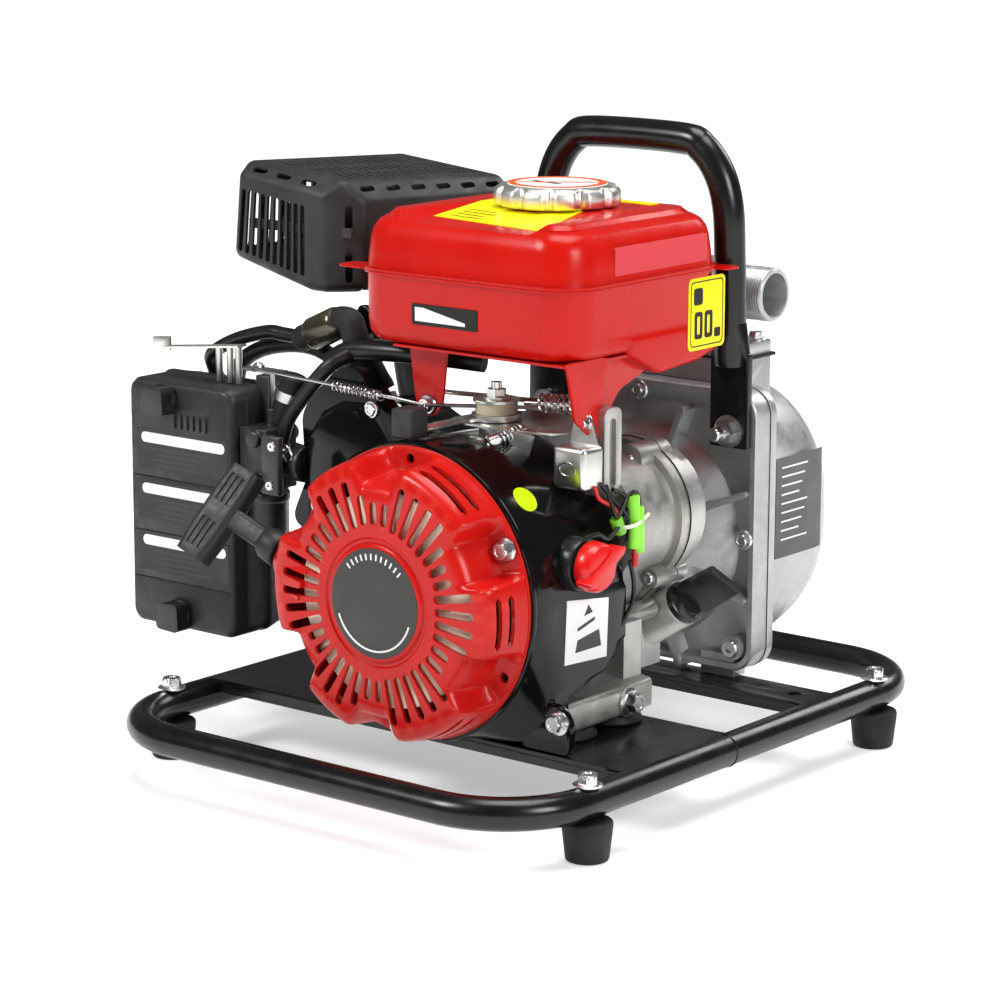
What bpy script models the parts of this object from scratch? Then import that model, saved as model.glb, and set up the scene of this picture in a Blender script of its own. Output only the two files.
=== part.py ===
"""Portable fire pump: a small petrol engine and a one-inch centrifugal pump on a tube frame.

Lengths are in millimetres and are turned into metres when a mesh is made.
+X is the drain-plug side, -Y the recoil-starter end, +Y the pump end, +Z up.
The crankshaft lies along Y.  The origin ends up under the middle of the bounding box.
"""
import math

import bmesh
import bpy
from mathutils import Matrix, Vector

MM = 0.001
GAP = 0.3                      # clearance left between touching pieces

# Base frame
TUBE_R = 9.5                   # three-quarter inch tube
FRAME_X = 157.3                # half distance between the side tubes' axes
FRAME_Y = 202.5                # half distance between the end tubes' axes
FRAME_CORNER = 57.0            # bend radius of the frame corners
FRAME_Z = 32.5                 # height of the tube axis
DECK_Z = FRAME_Z + TUBE_R      # top of tubes and plates
PLATE_T = 2.5
PLATE_LIP = 8.0
FRONT_PLATE = (-111.0, -12.0)  # Y range
REAR_PLATE = (68.5, 99.0)      # Y range
FOOT_Y = 144.1
FOOT_R = 14.3
REAR_PLATE_HOLE = (139.0, 84.0)

# Engine
CRANK_X = 19.0
CRANK_Z = 125.0
CAM_X = 68.0
CAM_Z = 157.0
CYL_Y = -40.0                  # plane of the cylinder axis
CYL_TILT = math.radians(25.0)  # cylinder axis above horizontal, towards -X
ENGINE_FOOT_X = (-66.0, 104.0)
ENGINE_FOOT_Y = (-92.5, -13.0)
ENGINE_FOOT_Z = (48.7, 66.0)
MOUNT_R = 17.0
MOUNT_XY = ((88.0, -74.0), (88.0, -31.0), (-50.0, -74.0), (-50.0, -31.0))
GASKET_Y = 12.0                # joint between crankcase and side cover
COVER_Y = 37.0                 # rear face of the side cover
SHAFT_R = 9.0
COVER_LUGS = ((82.0, 192.0, 9.0), (97.0, 123.5, 6.2))  # X, Z and radius of each screw lug
LUG_REAR_Y = 22.0
OIL_AXIS = (0.848, 0.0, 0.53)
OIL_NECK = (96.0, 26.6, 101.5)
PLUG_AXIS = (-0.45, -0.2, 0.87)
PLUG_SEAT = (-63.0, -40.0, 195.0)

# Air cleaner
AIR_CLEANER_X = (-234.0, -147.0)
AIR_CLEANER_Z = (64.0, 218.0)

# Blower housing and recoil starter
HOUSING_R = 84.0
HOUSING_Y = (-126.4, -38.0)
RECOIL_FRONT_Y = -159.0
RECOIL_SLOTS = 20
ROPE_AXIS = (-0.93, 0.0, 0.36)
ROPE_EXIT = (-64.0, -143.0, 137.5)
GRIP_BAR = (0.30, 0.50, 0.81)

# Pump
PLATE_FRONT = 88.0             # front edge of the adapter plate's rim
PLATE_Y = 94.0                 # front face of its web
FLANGE_T = 9.0
PUMP_X = (-68.0, 105.0)
PUMP_Z = (47.0, 220.0)
PORT_R = 16.6                  # one-inch male thread
PORT_BORE = 12.5
CASING_REAR = 205.0
SUCTION_END = 243.0
DRAIN_Y = 203.0
STUB_Z = 274.0
STUB_Y = 124.0
ELBOW_X = 36.0                 # middle of the discharge neck
SUCTION = (CRANK_X, 0.0, 150.0)
PRIMING_XY = (-34.0, 126.0)

# Tank
SEAM_Z = 298.5
TANK_X = (-65.0, 96.0)
TANK_Y = (-84.5, 69.0)
TANK_TOP = 333.0
TANK_BOTTOM = 258.0
CAP_XY = (17.0, 6.0)

# Handle
HANDLE_X = 19.0
HANDLE_HALF = 69.0
HANDLE_TOP = 369.0

# Middle of the whole set's bounding box, seen from above
MIDDLE_X = (AIR_CLEANER_X[0] + FRAME_X + FOOT_R) / 2
MIDDLE_Y = (SUCTION_END - FRAME_Y - TUBE_R) / 2


# ---------------------------------------------------------------- helpers

def clear_scene():
    for item in list(bpy.data.objects):
        bpy.data.objects.remove(item, do_unlink=True)


def material(name, colour, roughness, metallic=0.0):
    made = bpy.data.materials.new(name)
    made.use_nodes = True
    shader = made.node_tree.nodes["Principled BSDF"]
    shader.inputs["Base Color"].default_value = (*colour, 1.0)
    shader.inputs["Roughness"].default_value = roughness
    shader.inputs["Metallic"].default_value = metallic
    made.diffuse_color = (*colour, 1.0)
    return made


BLACK = (0.012, 0.012, 0.013)
RED = (0.55, 0.008, 0.01)
CAST = (0.50, 0.50, 0.49)
STEEL = (0.62, 0.62, 0.62)
FINISHES = {
    "black_paint": (BLACK, 0.25, 0.0),
    "satin_black": ((0.018, 0.018, 0.018), 0.5, 0.0),
    "red_paint": (RED, 0.18, 0.0),
    "red_plastic": ((0.7, 0.01, 0.01), 0.3, 0.0),
    "rubber": ((0.02, 0.02, 0.02), 0.8, 0.0),
    "cast_aluminium": (CAST, 0.45, 0.9),
    "pump_cast": ((0.38, 0.38, 0.38), 0.5, 0.8),
    "zinc": (STEEL, 0.3, 1.0),
    "chrome": ((0.8, 0.8, 0.8), 0.08, 1.0),
    "black_plastic": ((0.02, 0.02, 0.02), 0.45, 0.0),
    "fan_plastic": ((0.55, 0.5, 0.35), 0.5, 0.0),
    "filter_foam": ((0.1, 0.1, 0.1), 0.95, 0.0),
    "rope": ((0.08, 0.08, 0.08), 0.9, 0.0),
    "brass": ((0.6, 0.45, 0.15), 0.3, 1.0),
}


def shape_object(name, bm, parent, pivot=(0, 0, 0), finish="zinc"):
    """Turn a bmesh in millimetres into an object whose origin is the pivot."""
    bmesh.ops.remove_doubles(bm, verts=bm.verts, dist=0.001)
    bmesh.ops.recalc_face_normals(bm, faces=bm.faces)
    pivot = Vector(pivot)
    for vert in bm.verts:
        vert.co = (vert.co - pivot) * MM
    mesh = bpy.data.meshes.new(name)
    bm.to_mesh(mesh)
    bm.free()
    made = bpy.data.objects.new(name, mesh)
    bpy.context.scene.collection.objects.link(made)
    made.parent = parent
    made.location = pivot * MM
    mesh.shade_smooth()
    mesh.set_sharp_from_angle(angle=math.radians(35))
    finish_material = bpy.data.materials.get(name + "_finish")
    if finish_material is None:
        finish_material = material(name + "_finish", *FINISHES[finish])
    mesh.materials.append(finish_material)
    return made


def combine(target, tool_mesh, operation):
    """Cut a tool shape out of the target, or join it on."""
    tool = shape_object(target.name + "_tool", tool_mesh, target.parent, finish="zinc")
    tool.hide_render = True
    tool.display_type = "WIRE"
    step = target.modifiers.new(operation.lower(), "BOOLEAN")
    step.operation = operation
    step.solver = "EXACT"
    step.object = tool
    return tool


def cut(target, tool_mesh):
    return combine(target, tool_mesh, "DIFFERENCE")


def join(target, tool_mesh):
    return combine(target, tool_mesh, "UNION")


def soften(target, width, segments=2, angle=40):
    step = target.modifiers.new("soft_edges", "BEVEL")
    step.width = width * MM
    step.segments = segments
    step.limit_method = "ANGLE"
    step.angle_limit = math.radians(angle)


def axis_matrix(axis, centre):
    """A frame whose Z is the given axis, placed at the centre."""
    turn = Vector(axis).normalized().to_track_quat("Z", "Y").to_matrix().to_4x4()
    return Matrix.Translation(Vector(centre)) @ turn


def ring(bm, radius, height, sides, flats, matrix):
    points = []
    for i in range(sides):
        angle = 2 * math.pi * i / sides
        reach = radius
        if flats:
            sector = math.pi / flats
            reach = radius * math.cos(sector) / math.cos((angle % (2 * sector)) - sector)
        point = Vector((reach * math.cos(angle), reach * math.sin(angle), height))
        points.append(bm.verts.new(matrix @ point))
    return points


def turned(rings, axis=(0, 0, 1), centre=(0, 0, 0), sides=24):
    """A solid of stacked rings: each is (radius, height) or (radius, height, flats)."""
    bm = bmesh.new()
    matrix = axis_matrix(axis, centre)
    loops = [ring(bm, r[0], r[1], sides, r[2] if len(r) > 2 else 0, matrix) for r in rings]
    for low, high in zip(loops, loops[1:]):
        bridge(bm, low, high)
    bm.faces.new(loops[0])
    bm.faces.new(loops[-1])
    return bm


def lathe(profile, axis=(0, 1, 0), centre=(0, 0, 0), sides=32):
    """A ring-shaped solid: a closed (radius, height) profile turned about the axis."""
    bm = bmesh.new()
    matrix = axis_matrix(axis, centre)
    loops = [ring(bm, radius, height, sides, 0, matrix) for radius, height in profile]
    for low, high in zip(loops, loops[1:] + loops[:1]):
        bridge(bm, low, high)
    return bm


def bridge(bm, low, high):
    count = len(low)
    for i in range(count):
        j = (i + 1) % count
        bm.faces.new((low[i], low[j], high[j], high[i]))


def box(low, high):
    return prism([(low[0], low[1]), (high[0], low[1]), (high[0], high[1]), (low[0], high[1])],
                 "Z", low[2], high[2])


def place(axis, p, q, along):
    """A point from outline values p, q and the extrusion value."""
    if axis == "X":
        return (along, p, q)
    if axis == "Y":
        return (p, along, q)
    return (p, q, along)


def loft(sections, axis):
    """A solid through outlines of equal length: each section is (along, outline)."""
    bm = bmesh.new()
    loops = []
    for along, outline in sections:
        loops.append([bm.verts.new(place(axis, p, q, along)) for p, q in outline])
    for low, high in zip(loops, loops[1:]):
        bridge(bm, low, high)
    bm.faces.new(loops[0])
    bm.faces.new(loops[-1])
    return bm


def prism(outline, axis, start, end):
    return loft([(start, outline), (end, outline)], axis)


def arc(cx, cy, radius, start, end, steps):
    """Points on an arc, angles in degrees."""
    points = []
    for i in range(steps + 1):
        angle = math.radians(start + (end - start) * i / steps)
        points.append((cx + radius * math.cos(angle), cy + radius * math.sin(angle)))
    return points


def rounded(x0, y0, x1, y1, radius, steps=4):
    return (arc(x1 - radius, y0 + radius, radius, -90, 0, steps)
            + arc(x1 - radius, y1 - radius, radius, 0, 90, steps)
            + arc(x0 + radius, y1 - radius, radius, 90, 180, steps)
            + arc(x0 + radius, y0 + radius, radius, 180, 270, steps))


def sweep(points, radius, sides=16, closed=False):
    """A round tube of the given radius along a path."""
    bm = bmesh.new()
    path = [Vector(p) for p in points]
    count = len(path)
    loops = []
    normal = None
    for i in range(count):
        if closed:
            heading = (path[(i + 1) % count] - path[i - 1]).normalized()
        else:
            heading = (path[min(i + 1, count - 1)] - path[max(i - 1, 0)]).normalized()
        if normal is None:
            helper = Vector((0, 0, 1)) if abs(heading.z) < 0.9 else Vector((0, 1, 0))
            normal = heading.cross(helper).normalized()
        normal = (normal - heading * normal.dot(heading)).normalized()
        side = heading.cross(normal)
        loop = []
        for k in range(sides):
            angle = 2 * math.pi * k / sides
            offset = normal * math.cos(angle) + side * math.sin(angle)
            loop.append(bm.verts.new(path[i] + offset * radius))
        loops.append(loop)
    for low, high in zip(loops, loops[1:]):
        bridge(bm, low, high)
    if closed:
        bridge(bm, loops[-1], loops[0])
    else:
        bm.faces.new(loops[0])
        bm.faces.new(loops[-1])
    return bm


def curve_points(knots, steps=5):
    """Points on a smooth curve through the knots."""
    path = [Vector(k) for k in knots]
    path = [2 * path[0] - path[1], *path, 2 * path[-1] - path[-2]]
    points = []
    for a, b, c, d in zip(path, path[1:], path[2:], path[3:]):
        for i in range(steps):
            t = i / steps
            points.append(0.5 * (2 * b + (c - a) * t + (2 * a - 5 * b + 4 * c - d) * t * t
                                 + (3 * b - a - 3 * c + d) * t ** 3))
    points.append(path[-2])
    return points


def merged(*shapes):
    """One bmesh holding several separate shapes, for use as a cutter."""
    whole = bmesh.new()
    for shape in shapes:
        copy = bpy.data.meshes.new("shape")
        bmesh.ops.recalc_face_normals(shape, faces=shape.faces)
        shape.to_mesh(copy)
        shape.free()
        whole.from_mesh(copy)
        bpy.data.meshes.remove(copy)
    return whole


def cylinder(radius, start, end, axis, centre, sides=24):
    """A plain round bar along an axis through the centre."""
    return turned([(radius, start), (radius, end)], axis, centre, sides)


# ---------------------------------------------------------------- base frame

def base_frame(root):
    path = [(x, y, FRAME_Z) for x, y in
            rounded(-FRAME_X, -FRAME_Y, FRAME_X, FRAME_Y, FRAME_CORNER, 6)]
    frame = shape_object("base_frame", sweep(path, TUBE_R, 12, closed=True), root,
                         finish="black_paint")
    low = DECK_Z - PLATE_T
    for near, far in (FRONT_PLATE, REAR_PLATE):
        profile = [(near, DECK_Z), (near, DECK_Z - PLATE_LIP), (near + PLATE_T, DECK_Z - PLATE_LIP),
                   (near + PLATE_T, low), (far - PLATE_T, low), (far - PLATE_T, DECK_Z - PLATE_LIP),
                   (far, DECK_Z - PLATE_LIP), (far, DECK_Z)]
        join(frame, prism(profile, "X", -FRAME_X, FRAME_X))
    holes = [cylinder(3.4, 0, 60, (0, 0, 1), (sx * FRAME_X, sy * FOOT_Y, 0), 8)
             for sx in (-1, 1) for sy in (-1, 1)]
    hole_x, hole_y = REAR_PLATE_HOLE
    holes += [cylinder(4.0, 0, 60, (0, 0, 1), (sx * hole_x, hole_y, 0), 8) for sx in (-1, 1)]
    holes += [cylinder(3.4, 30, 60, (0, 0, 1), (x, y, 0), 8) for x, y in MOUNT_XY]
    cut(frame, merged(*holes))


def feet(root):
    top = FRAME_Z - TUBE_R - GAP
    for end, sy in (("front", -1), ("rear", 1)):
        for hand, sx in (("left", -1), ("right", 1)):
            centre = (sx * FRAME_X, sy * FOOT_Y, 0)
            foot = shape_object(f"foot_{end}_{hand}",
                                turned([(11.6, 0), (12.4, 1), (FOOT_R, top - 2), (FOOT_R, top)],
                                       centre=centre, sides=16), root, finish="rubber")
            cut(foot, cylinder(3.4, 8, top + 5, (0, 0, 1), centre, 8))
            seat = DECK_Z + GAP
            shape_object(f"foot_bolt_{end}_{hand}",
                         turned([(3.0, 10), (3.0, seat), (7.0, seat), (6.6, seat + 1.5),
                                 (5.9, seat + 1.8, 6), (5.9, seat + 6.0, 6), (4.6, seat + 6.8)],
                                centre=centre, sides=12), root, finish="zinc")


def engine_mounts(root):
    for x, y in MOUNT_XY:
        hand = "right" if x > 0 else "left"
        end = "front" if y < -50 else "rear"
        low = DECK_Z + GAP
        high = ENGINE_FOOT_Z[0] - GAP
        shape_object(f"engine_mount_{end}_{hand}",
                     turned([(3.0, 30), (3.0, low), (MOUNT_R, low), (MOUNT_R - 2, high)],
                            centre=(x, y, 0), sides=16), root, finish="rubber")


# ---------------------------------------------------------------- engine

def case_outline(inset=0.0):
    """The crankcase outline in X and Z: sump, cam gear bulge and crank chamber."""
    cam_r = 44.0 - inset
    crank_r = 50.0 - inset
    left = -34.0 + inset
    right = 77.0 - inset
    bottom = 62.0 + inset
    return ([(left, bottom), (right, bottom), (right, 104.0)]
            + arc(CAM_X, CAM_Z, cam_r, -48, 112, 12)
            + arc(CRANK_X, CRANK_Z, crank_r, 105, 170, 6)
            + [(left, 118.0)])


def crankcase(root):
    body = shape_object("crankcase", prism(case_outline(), "Y", -36, GASKET_Y), root,
                        finish="cast_aluminium")
    foot = [(ENGINE_FOOT_X[0], ENGINE_FOOT_Z[0]), (ENGINE_FOOT_X[1], ENGINE_FOOT_Z[0]),
            (ENGINE_FOOT_X[1], ENGINE_FOOT_Z[1]), (72.0, 70.0), (-30.0, 70.0),
            (ENGINE_FOOT_X[0], ENGINE_FOOT_Z[1])]
    join(body, prism(foot, "Y", *ENGINE_FOOT_Y))
    join(body, prism([(-34, 60), (77, 60), (70, 100), (-30, 100)], "Y", -80, -30))
    join(body, cylinder(52, -66, -30, (0, 1, 0), (CRANK_X, 0, CRANK_Z), 32))
    along = cylinder_axis()
    join(body, turned([(37, 20), (37, 56)], along, crank_centre(CYL_Y), 24))
    for x, z, radius in COVER_LUGS:
        join(body, cylinder(radius, -8, GASKET_Y, (0, 1, 0), (x, 0, z), 16))
    cut(body, prism(case_outline(4.5), "Y", -30, GASKET_Y + 5))
    cut(body, cylinder(44, -58, 0, (0, 1, 0), (CRANK_X, 0, CRANK_Z), 32))
    cut(body, cylinder(SHAFT_R + GAP, -90, 0, (0, 1, 0), (CRANK_X, 0, CRANK_Z), 24))
    cut(body, cylinder(25, 10, 70, along, crank_centre(CYL_Y), 24))


def crank_centre(y):
    return (CRANK_X, y, CRANK_Z)


def cylinder_axis():
    return (-math.cos(CYL_TILT), 0, math.sin(CYL_TILT))


def crankcase_cover(root):
    front = GASKET_Y + GAP
    cover = shape_object("crankcase_cover", prism(case_outline(), "Y", front, COVER_Y - 5), root,
                         finish="cast_aluminium")
    join(cover, cylinder(46, 20, 52, (0, 1, 0), crank_centre(0), 32))
    for x, z, radius in COVER_LUGS:
        join(cover, cylinder(radius, front, LUG_REAR_Y, (0, 1, 0), (x, 0, z), 16))
    join(cover, cylinder(14.0, -40, 0, OIL_AXIS, OIL_NECK, 24))
    cut(cover, prism(case_outline(4.5), "Y", front - 5, COVER_Y - 10))
    cut(cover, cylinder(9.8, -34, 5, OIL_AXIS, OIL_NECK, 16))
    cut(cover, cylinder(SHAFT_R + GAP, 0, 70, (0, 1, 0), crank_centre(0), 24))


def oil_cap(root):
    pivot = Vector(OIL_NECK)
    cap = shape_object("oil_cap", turned([(9.2, -14), (9.2, GAP), (11.8, GAP), (11.8, 3.5),
                                          (10.0, 5.0)], OIL_AXIS, OIL_NECK, 20),
                       root, OIL_NECK, "black_plastic")
    across = Vector(OIL_AXIS).cross(Vector((0, 1, 0))).normalized()
    across = (Vector((0, 1, 0)) * 0.66 - across * 0.75).normalized()
    thick = Vector(OIL_AXIS).cross(across)
    bm = bmesh.new()
    corners = []
    for reach in (3.0, 37.0):
        for side, lift in ((-12.5, -3.5), (12.5, -3.5), (12.5, 3.5), (-12.5, 3.5)):
            point = pivot + Vector(OIL_AXIS).normalized() * reach + across * side + thick * lift
            corners.append(bm.verts.new(point))
    bridge(bm, corners[:4], corners[4:])
    bm.faces.new(corners[:4])
    bm.faces.new(corners[4:])
    join(cap, bm)
    return cap


def cylinder_parts(root):
    along = cylinder_axis()
    centre = crank_centre(CYL_Y)
    fins = [(22.3, 56.5), (27, 56.5)]
    for i in range(4):
        at = 61 + 9 * i
        fins += [(27, at), (37, at + 0.4), (37, at + 2.0), (27, at + 2.4)]
    fins += [(27, 94.5), (22.3, 94.5)]
    shape_object("cylinder", lathe(fins, along, centre, 20), root, finish="cast_aluminium")
    shape_object("piston", turned([(21.8, 74), (21.8, 91), (20, 92)], along, centre, 24), root,
                 finish="cast_aluminium")
    head = shape_object("cylinder_head", turned([(36, 94.8), (36, 112), (30, 113), (30, 118)],
                                                along, centre, 24), root,
                        finish="cast_aluminium")
    cut(head, cylinder(5.2, -8, 30, PLUG_AXIS, PLUG_SEAT, 16))
    shape_object("rocker_cover", turned([(29, 118.3), (29, 130), (24, 136), (10, 138)], along,
                                        centre, 24), root, finish="black_paint")
    plug = turned([(4.9, -7), (4.9, 16), (8.0, 16.5, 6), (8.0, 24, 6), (5.0, 25), (4.0, 45)],
                  PLUG_AXIS, PLUG_SEAT, 12)
    shape_object("spark_plug", plug, root, finish="zinc")
    boot = [(5.6, 27), (8.5, 27), (8.5, 50), (6.0, 58), (1.0, 58), (1.0, 46), (5.6, 46)]
    shape_object("spark_plug_cap", lathe(boot, PLUG_AXIS, PLUG_SEAT, 16), root, finish="rubber")


# ---------------------------------------------------------------- blower housing and starter

def housing_outline(radius, right, low):
    """Round outline about the crank, limited on the right and below."""
    points = arc(CRANK_X, CRANK_Z, radius, -180, 180, 40)[:-1]
    return [(min(x, right), max(z, low)) for x, z in points]


def along_cylinder(start, end, half):
    """A rectangle in X and Z along the cylinder axis."""
    ax, az = cylinder_axis()[0], cylinder_axis()[2]
    corners = []
    for reach, side in ((start, -half), (end, -half), (end, half), (start, half)):
        corners.append((CRANK_X + ax * reach + az * side, CRANK_Z + az * reach - ax * side))
    return corners


def blower_housing(root):
    near, far = HOUSING_Y
    wall = 2.2
    stations = ((near, HOUSING_R, 110, 43), (-112, HOUSING_R + 2, 110, 43),
                (-96, HOUSING_R + 2, 106, 43), (-93.2, HOUSING_R + 1.5, 104, 43),
                (-92.9, HOUSING_R + 1.5, 104, 72), (-60, HOUSING_R, 101, 80),
                (far, HOUSING_R - 2, 98, 96))
    shell = shape_object("blower_housing",
                         loft([(y, housing_outline(r, right, low))
                               for y, r, right, low in stations], "Y"),
                         root, finish="black_paint")
    join(shell, prism(along_cylinder(50, 128, 41), "Y", -83, -3))
    cut(shell, loft([(y, housing_outline(r - wall, right - wall, low + wall))
                     for y, r, right, low in stations[:4]] +
                    [(far + 5, housing_outline(HOUSING_R - 2 - wall, 98 - wall, 72 + wall))], "Y"))
    cut(shell, prism(along_cylinder(5, 140, 38.5), "Y", -80.5, 10))
    cut(shell, cylinder(76, near - 5, -100, (0, 1, 0), crank_centre(0), 40))
    cut(shell, box((-67, -92.4, 40), (85, 0, 101)))
    cut(shell, cylinder(10, 8, 60, PLUG_AXIS, PLUG_SEAT, 16))


def recoil_cover(root):
    front = RECOIL_FRONT_Y
    near = HOUSING_Y[0] - GAP
    cover = shape_object("recoil_cover",
                         turned([(84, near), (84, near - 5), (79, front + 9), (70, front + 1),
                                 (64, front)], (0, 1, 0), crank_centre(0), 40),
                         root, finish="red_paint")
    cut(cover, turned([(80, near + 5), (80, near - 5), (76, front + 10), (68, front + 4),
                       (20, front + 3)], (0, 1, 0), crank_centre(0), 40))
    slots = []
    for i in range(RECOIL_SLOTS):
        angle = 2 * math.pi * i / RECOIL_SLOTS
        slots.append(radial_slot(angle, 42, 64, 4.5, front - 5, front + 8))
    cut(cover, merged(*slots))
    guide = Vector(ROPE_EXIT)
    join(cover, turned([(9, -14), (9, 0)], ROPE_AXIS, guide, 16))
    cut(cover, cylinder(3.2, -60, 5, ROPE_AXIS, guide, 12))
    pulley = [(9.5, -148), (9.5, -138), (31, -138), (31, -140), (27, -143), (31, -146),
              (31, -148)]
    shape_object("starter_pulley", lathe(pulley, (0, 1, 0), crank_centre(0), 24), root,
                 crank_centre(-143), "black_plastic")


def radial_slot(angle, inner, outer, width, start, end):
    out = Vector((math.cos(angle), 0, math.sin(angle)))
    side = Vector((-math.sin(angle), 0, math.cos(angle))) * width / 2
    outline = []
    for reach, way in ((inner, -1), (outer, -1), (outer, 1), (inner, 1)):
        point = Vector((CRANK_X, 0, CRANK_Z)) + out * reach + side * way
        outline.append((point.x, point.z))
    return prism(outline, "Y", start, end)


def starter_grip(root):
    start = Vector(ROPE_EXIT) + Vector(ROPE_AXIS) * GAP
    grip = shape_object("starter_grip",
                        turned([(8, 0), (8, 6), (5.5, 9), (5.5, 48)], ROPE_AXIS, start, 16),
                        root, ROPE_EXIT, "black_plastic")
    middle = start + Vector(ROPE_AXIS) * 54
    join(grip, turned([(7, -38), (9, -34), (9, 34), (7, 38)], GRIP_BAR, middle, 16))
    cut(grip, cylinder(2.8, -5, 20, ROPE_AXIS, start, 12))
    rope = sweep([Vector(ROPE_EXIT) + Vector(ROPE_AXIS) * t for t in (-50, -30, -10, 5, 19)], 2.2,
                 8)
    shape_object("starter_rope", rope, root, ROPE_EXIT, "rope")


def crank_parts(root):
    centre = crank_centre(0)
    shaft = shape_object("crankshaft",
                         turned([(6, -134), (6, -124), (SHAFT_R, -121), (SHAFT_R, -53), (33, -53),
                                 (33, -45)], (0, 1, 0), centre, 24),
                         root, centre, "zinc")
    join(shaft, cylinder(8, -46, -27, (0, 1, 0), (CRANK_X, 0, CRANK_Z + 20), 16))
    join(shaft, turned([(33, -28), (33, -20), (SHAFT_R, -20), (SHAFT_R, 15), (19.2, 15),
                        (19.2, 22), (SHAFT_R, 22), (SHAFT_R, 100), (6, 101), (6, 127)],
                       (0, 1, 0), centre, 24))
    fan = [(9.3, -94.5), (68, -94.5), (74, -98), (74, -120), (71, -120), (71, -100), (22, -100),
           (22, -119.5), (9.3, -119.5)]
    shape_object("flywheel_fan", lathe(fan, (0, 1, 0), centre, 32), root, centre, "fan_plastic")
    disc = [(6.3, 106), (45, 106), (45, 109), (15, 114), (12, 124), (6.3, 124)]
    shape_object("impeller", lathe(disc, (0, 1, 0), centre, 24), root, centre, "pump_cast")
    cam_centre = (CAM_X, 0, CAM_Z)
    cam = shape_object("camshaft",
                       turned([(6, -28), (6, 15), (38.5, 15), (38.5, 22), (6, 22), (6, 25)],
                              (0, 1, 0), cam_centre, 28), root, cam_centre, "zinc")
    for at, way in ((-20, 1), (-8, -1)):
        join(cam, cylinder(9, at, at + 7, (0, 1, 0), (CAM_X + 4 * way, 0, CAM_Z), 16))


# ---------------------------------------------------------------- intake, exhaust and controls

def intake(root):
    carb = shape_object("carburettor", box((-146.4, -96, 152), (-125, -64, 198)), root,
                        finish="brass")
    join(carb, turned([(8, 128), (10, 131), (10, 153)], (0, 0, 1), (-136, -80, 0), 20))
    join(carb, cylinder(7, -126, -100, (1, 0, 0), (0, -91, 176), 16))
    join(carb, cylinder(4, 195, 206, (0, 0, 1), (-135, -76, 0), 12))
    low = (AIR_CLEANER_X[0], AIR_CLEANER_Z[0])
    high = (AIR_CLEANER_X[1], AIR_CLEANER_Z[1])
    base = shape_object("air_cleaner_base",
                        prism(rounded(low[0], low[1], high[0], high[1], 8), "Y", -71.7, -46),
                        root, finish="black_plastic")
    cut(base, prism(rounded(low[0] + 4, low[1] + 4, high[0] - 4, high[1] - 4, 6), "Y", -90, -52))
    cover = shape_object("air_cleaner_cover",
                         loft([(-72, rounded(low[0], low[1], high[0], high[1], 8)),
                               (-96, rounded(low[0], low[1], high[0], high[1], 8)),
                               (-100, rounded(low[0] + 3, low[1] + 3, high[0] - 3, high[1] - 3, 7))],
                              "Y"), root, (-190, -72, 141), "black_plastic")
    cut(cover, prism(rounded(low[0] + 3, low[1] + 3, high[0] - 3, high[1] - 3, 6), "Y", -97, -60))
    shape_object("air_filter", box((-224, -90, 76), (-157, -62, 206)), root,
                 finish="filter_foam")
    for name, x, z in (("wing_knob_upper", -200.0, 207.0), ("wing_knob_lower", -191.0, 74.0)):
        knob = shape_object(name, turned([(8, -100.3), (8, -104), (6, -106)], (0, 1, 0),
                                         (x, 0, z), 16), root, (x, -100.3, z), "black_plastic")
        join(knob, box((x - 11, -113, z - 2.5), (x + 11, -104.5, z + 2.5)))
    pivot = (-160.0, -79.0, 226.0)
    lever = shape_object("choke_lever",
                         turned([(3, -7.5), (3, 14), (5, 14), (5, 16)], centre=pivot, sides=16),
                         root, pivot, "zinc")
    join(lever, box((-230, -83, 240), (-158, -75, 242)))
    join(lever, box((-232, -83, 233), (-222, -81, 242)))


def exhaust(root):
    outline = [(-204, 288), (-141, 272), (-106, 272), (-106, 318), (-118, 331), (-190, 344),
               (-199, 338)]
    inner = [(-201, 290.2), (-140, 274.5), (-108.2, 274.5), (-108.2, 317), (-119, 328.6),
             (-189.6, 341.4), (-197, 336.4)]
    guard = shape_object("muffler_guard", prism(outline, "Y", -38, 118), root,
                         finish="satin_black")
    cut(guard, prism(inner, "Y", -35.8, 115.8))
    cut(guard, box((-137, -20, 260), (-110, 100, 280)))
    muffler = shape_object("muffler", turned([(18, -22), (23, -18), (23, 90), (18, 94)],
                                             (0, 1, 0), (-152, 0, 307), 20), root,
                           finish="satin_black")
    path = curve_points([(-150, 30, 300), (-131, 28, 291), (-123, 26, 268), (-112, 22, 220),
                         (-96, 14, 186), (-82, 4, 175), (-80, -1, 173)], 3)
    join(muffler, sweep(path, 8, 10))


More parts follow.
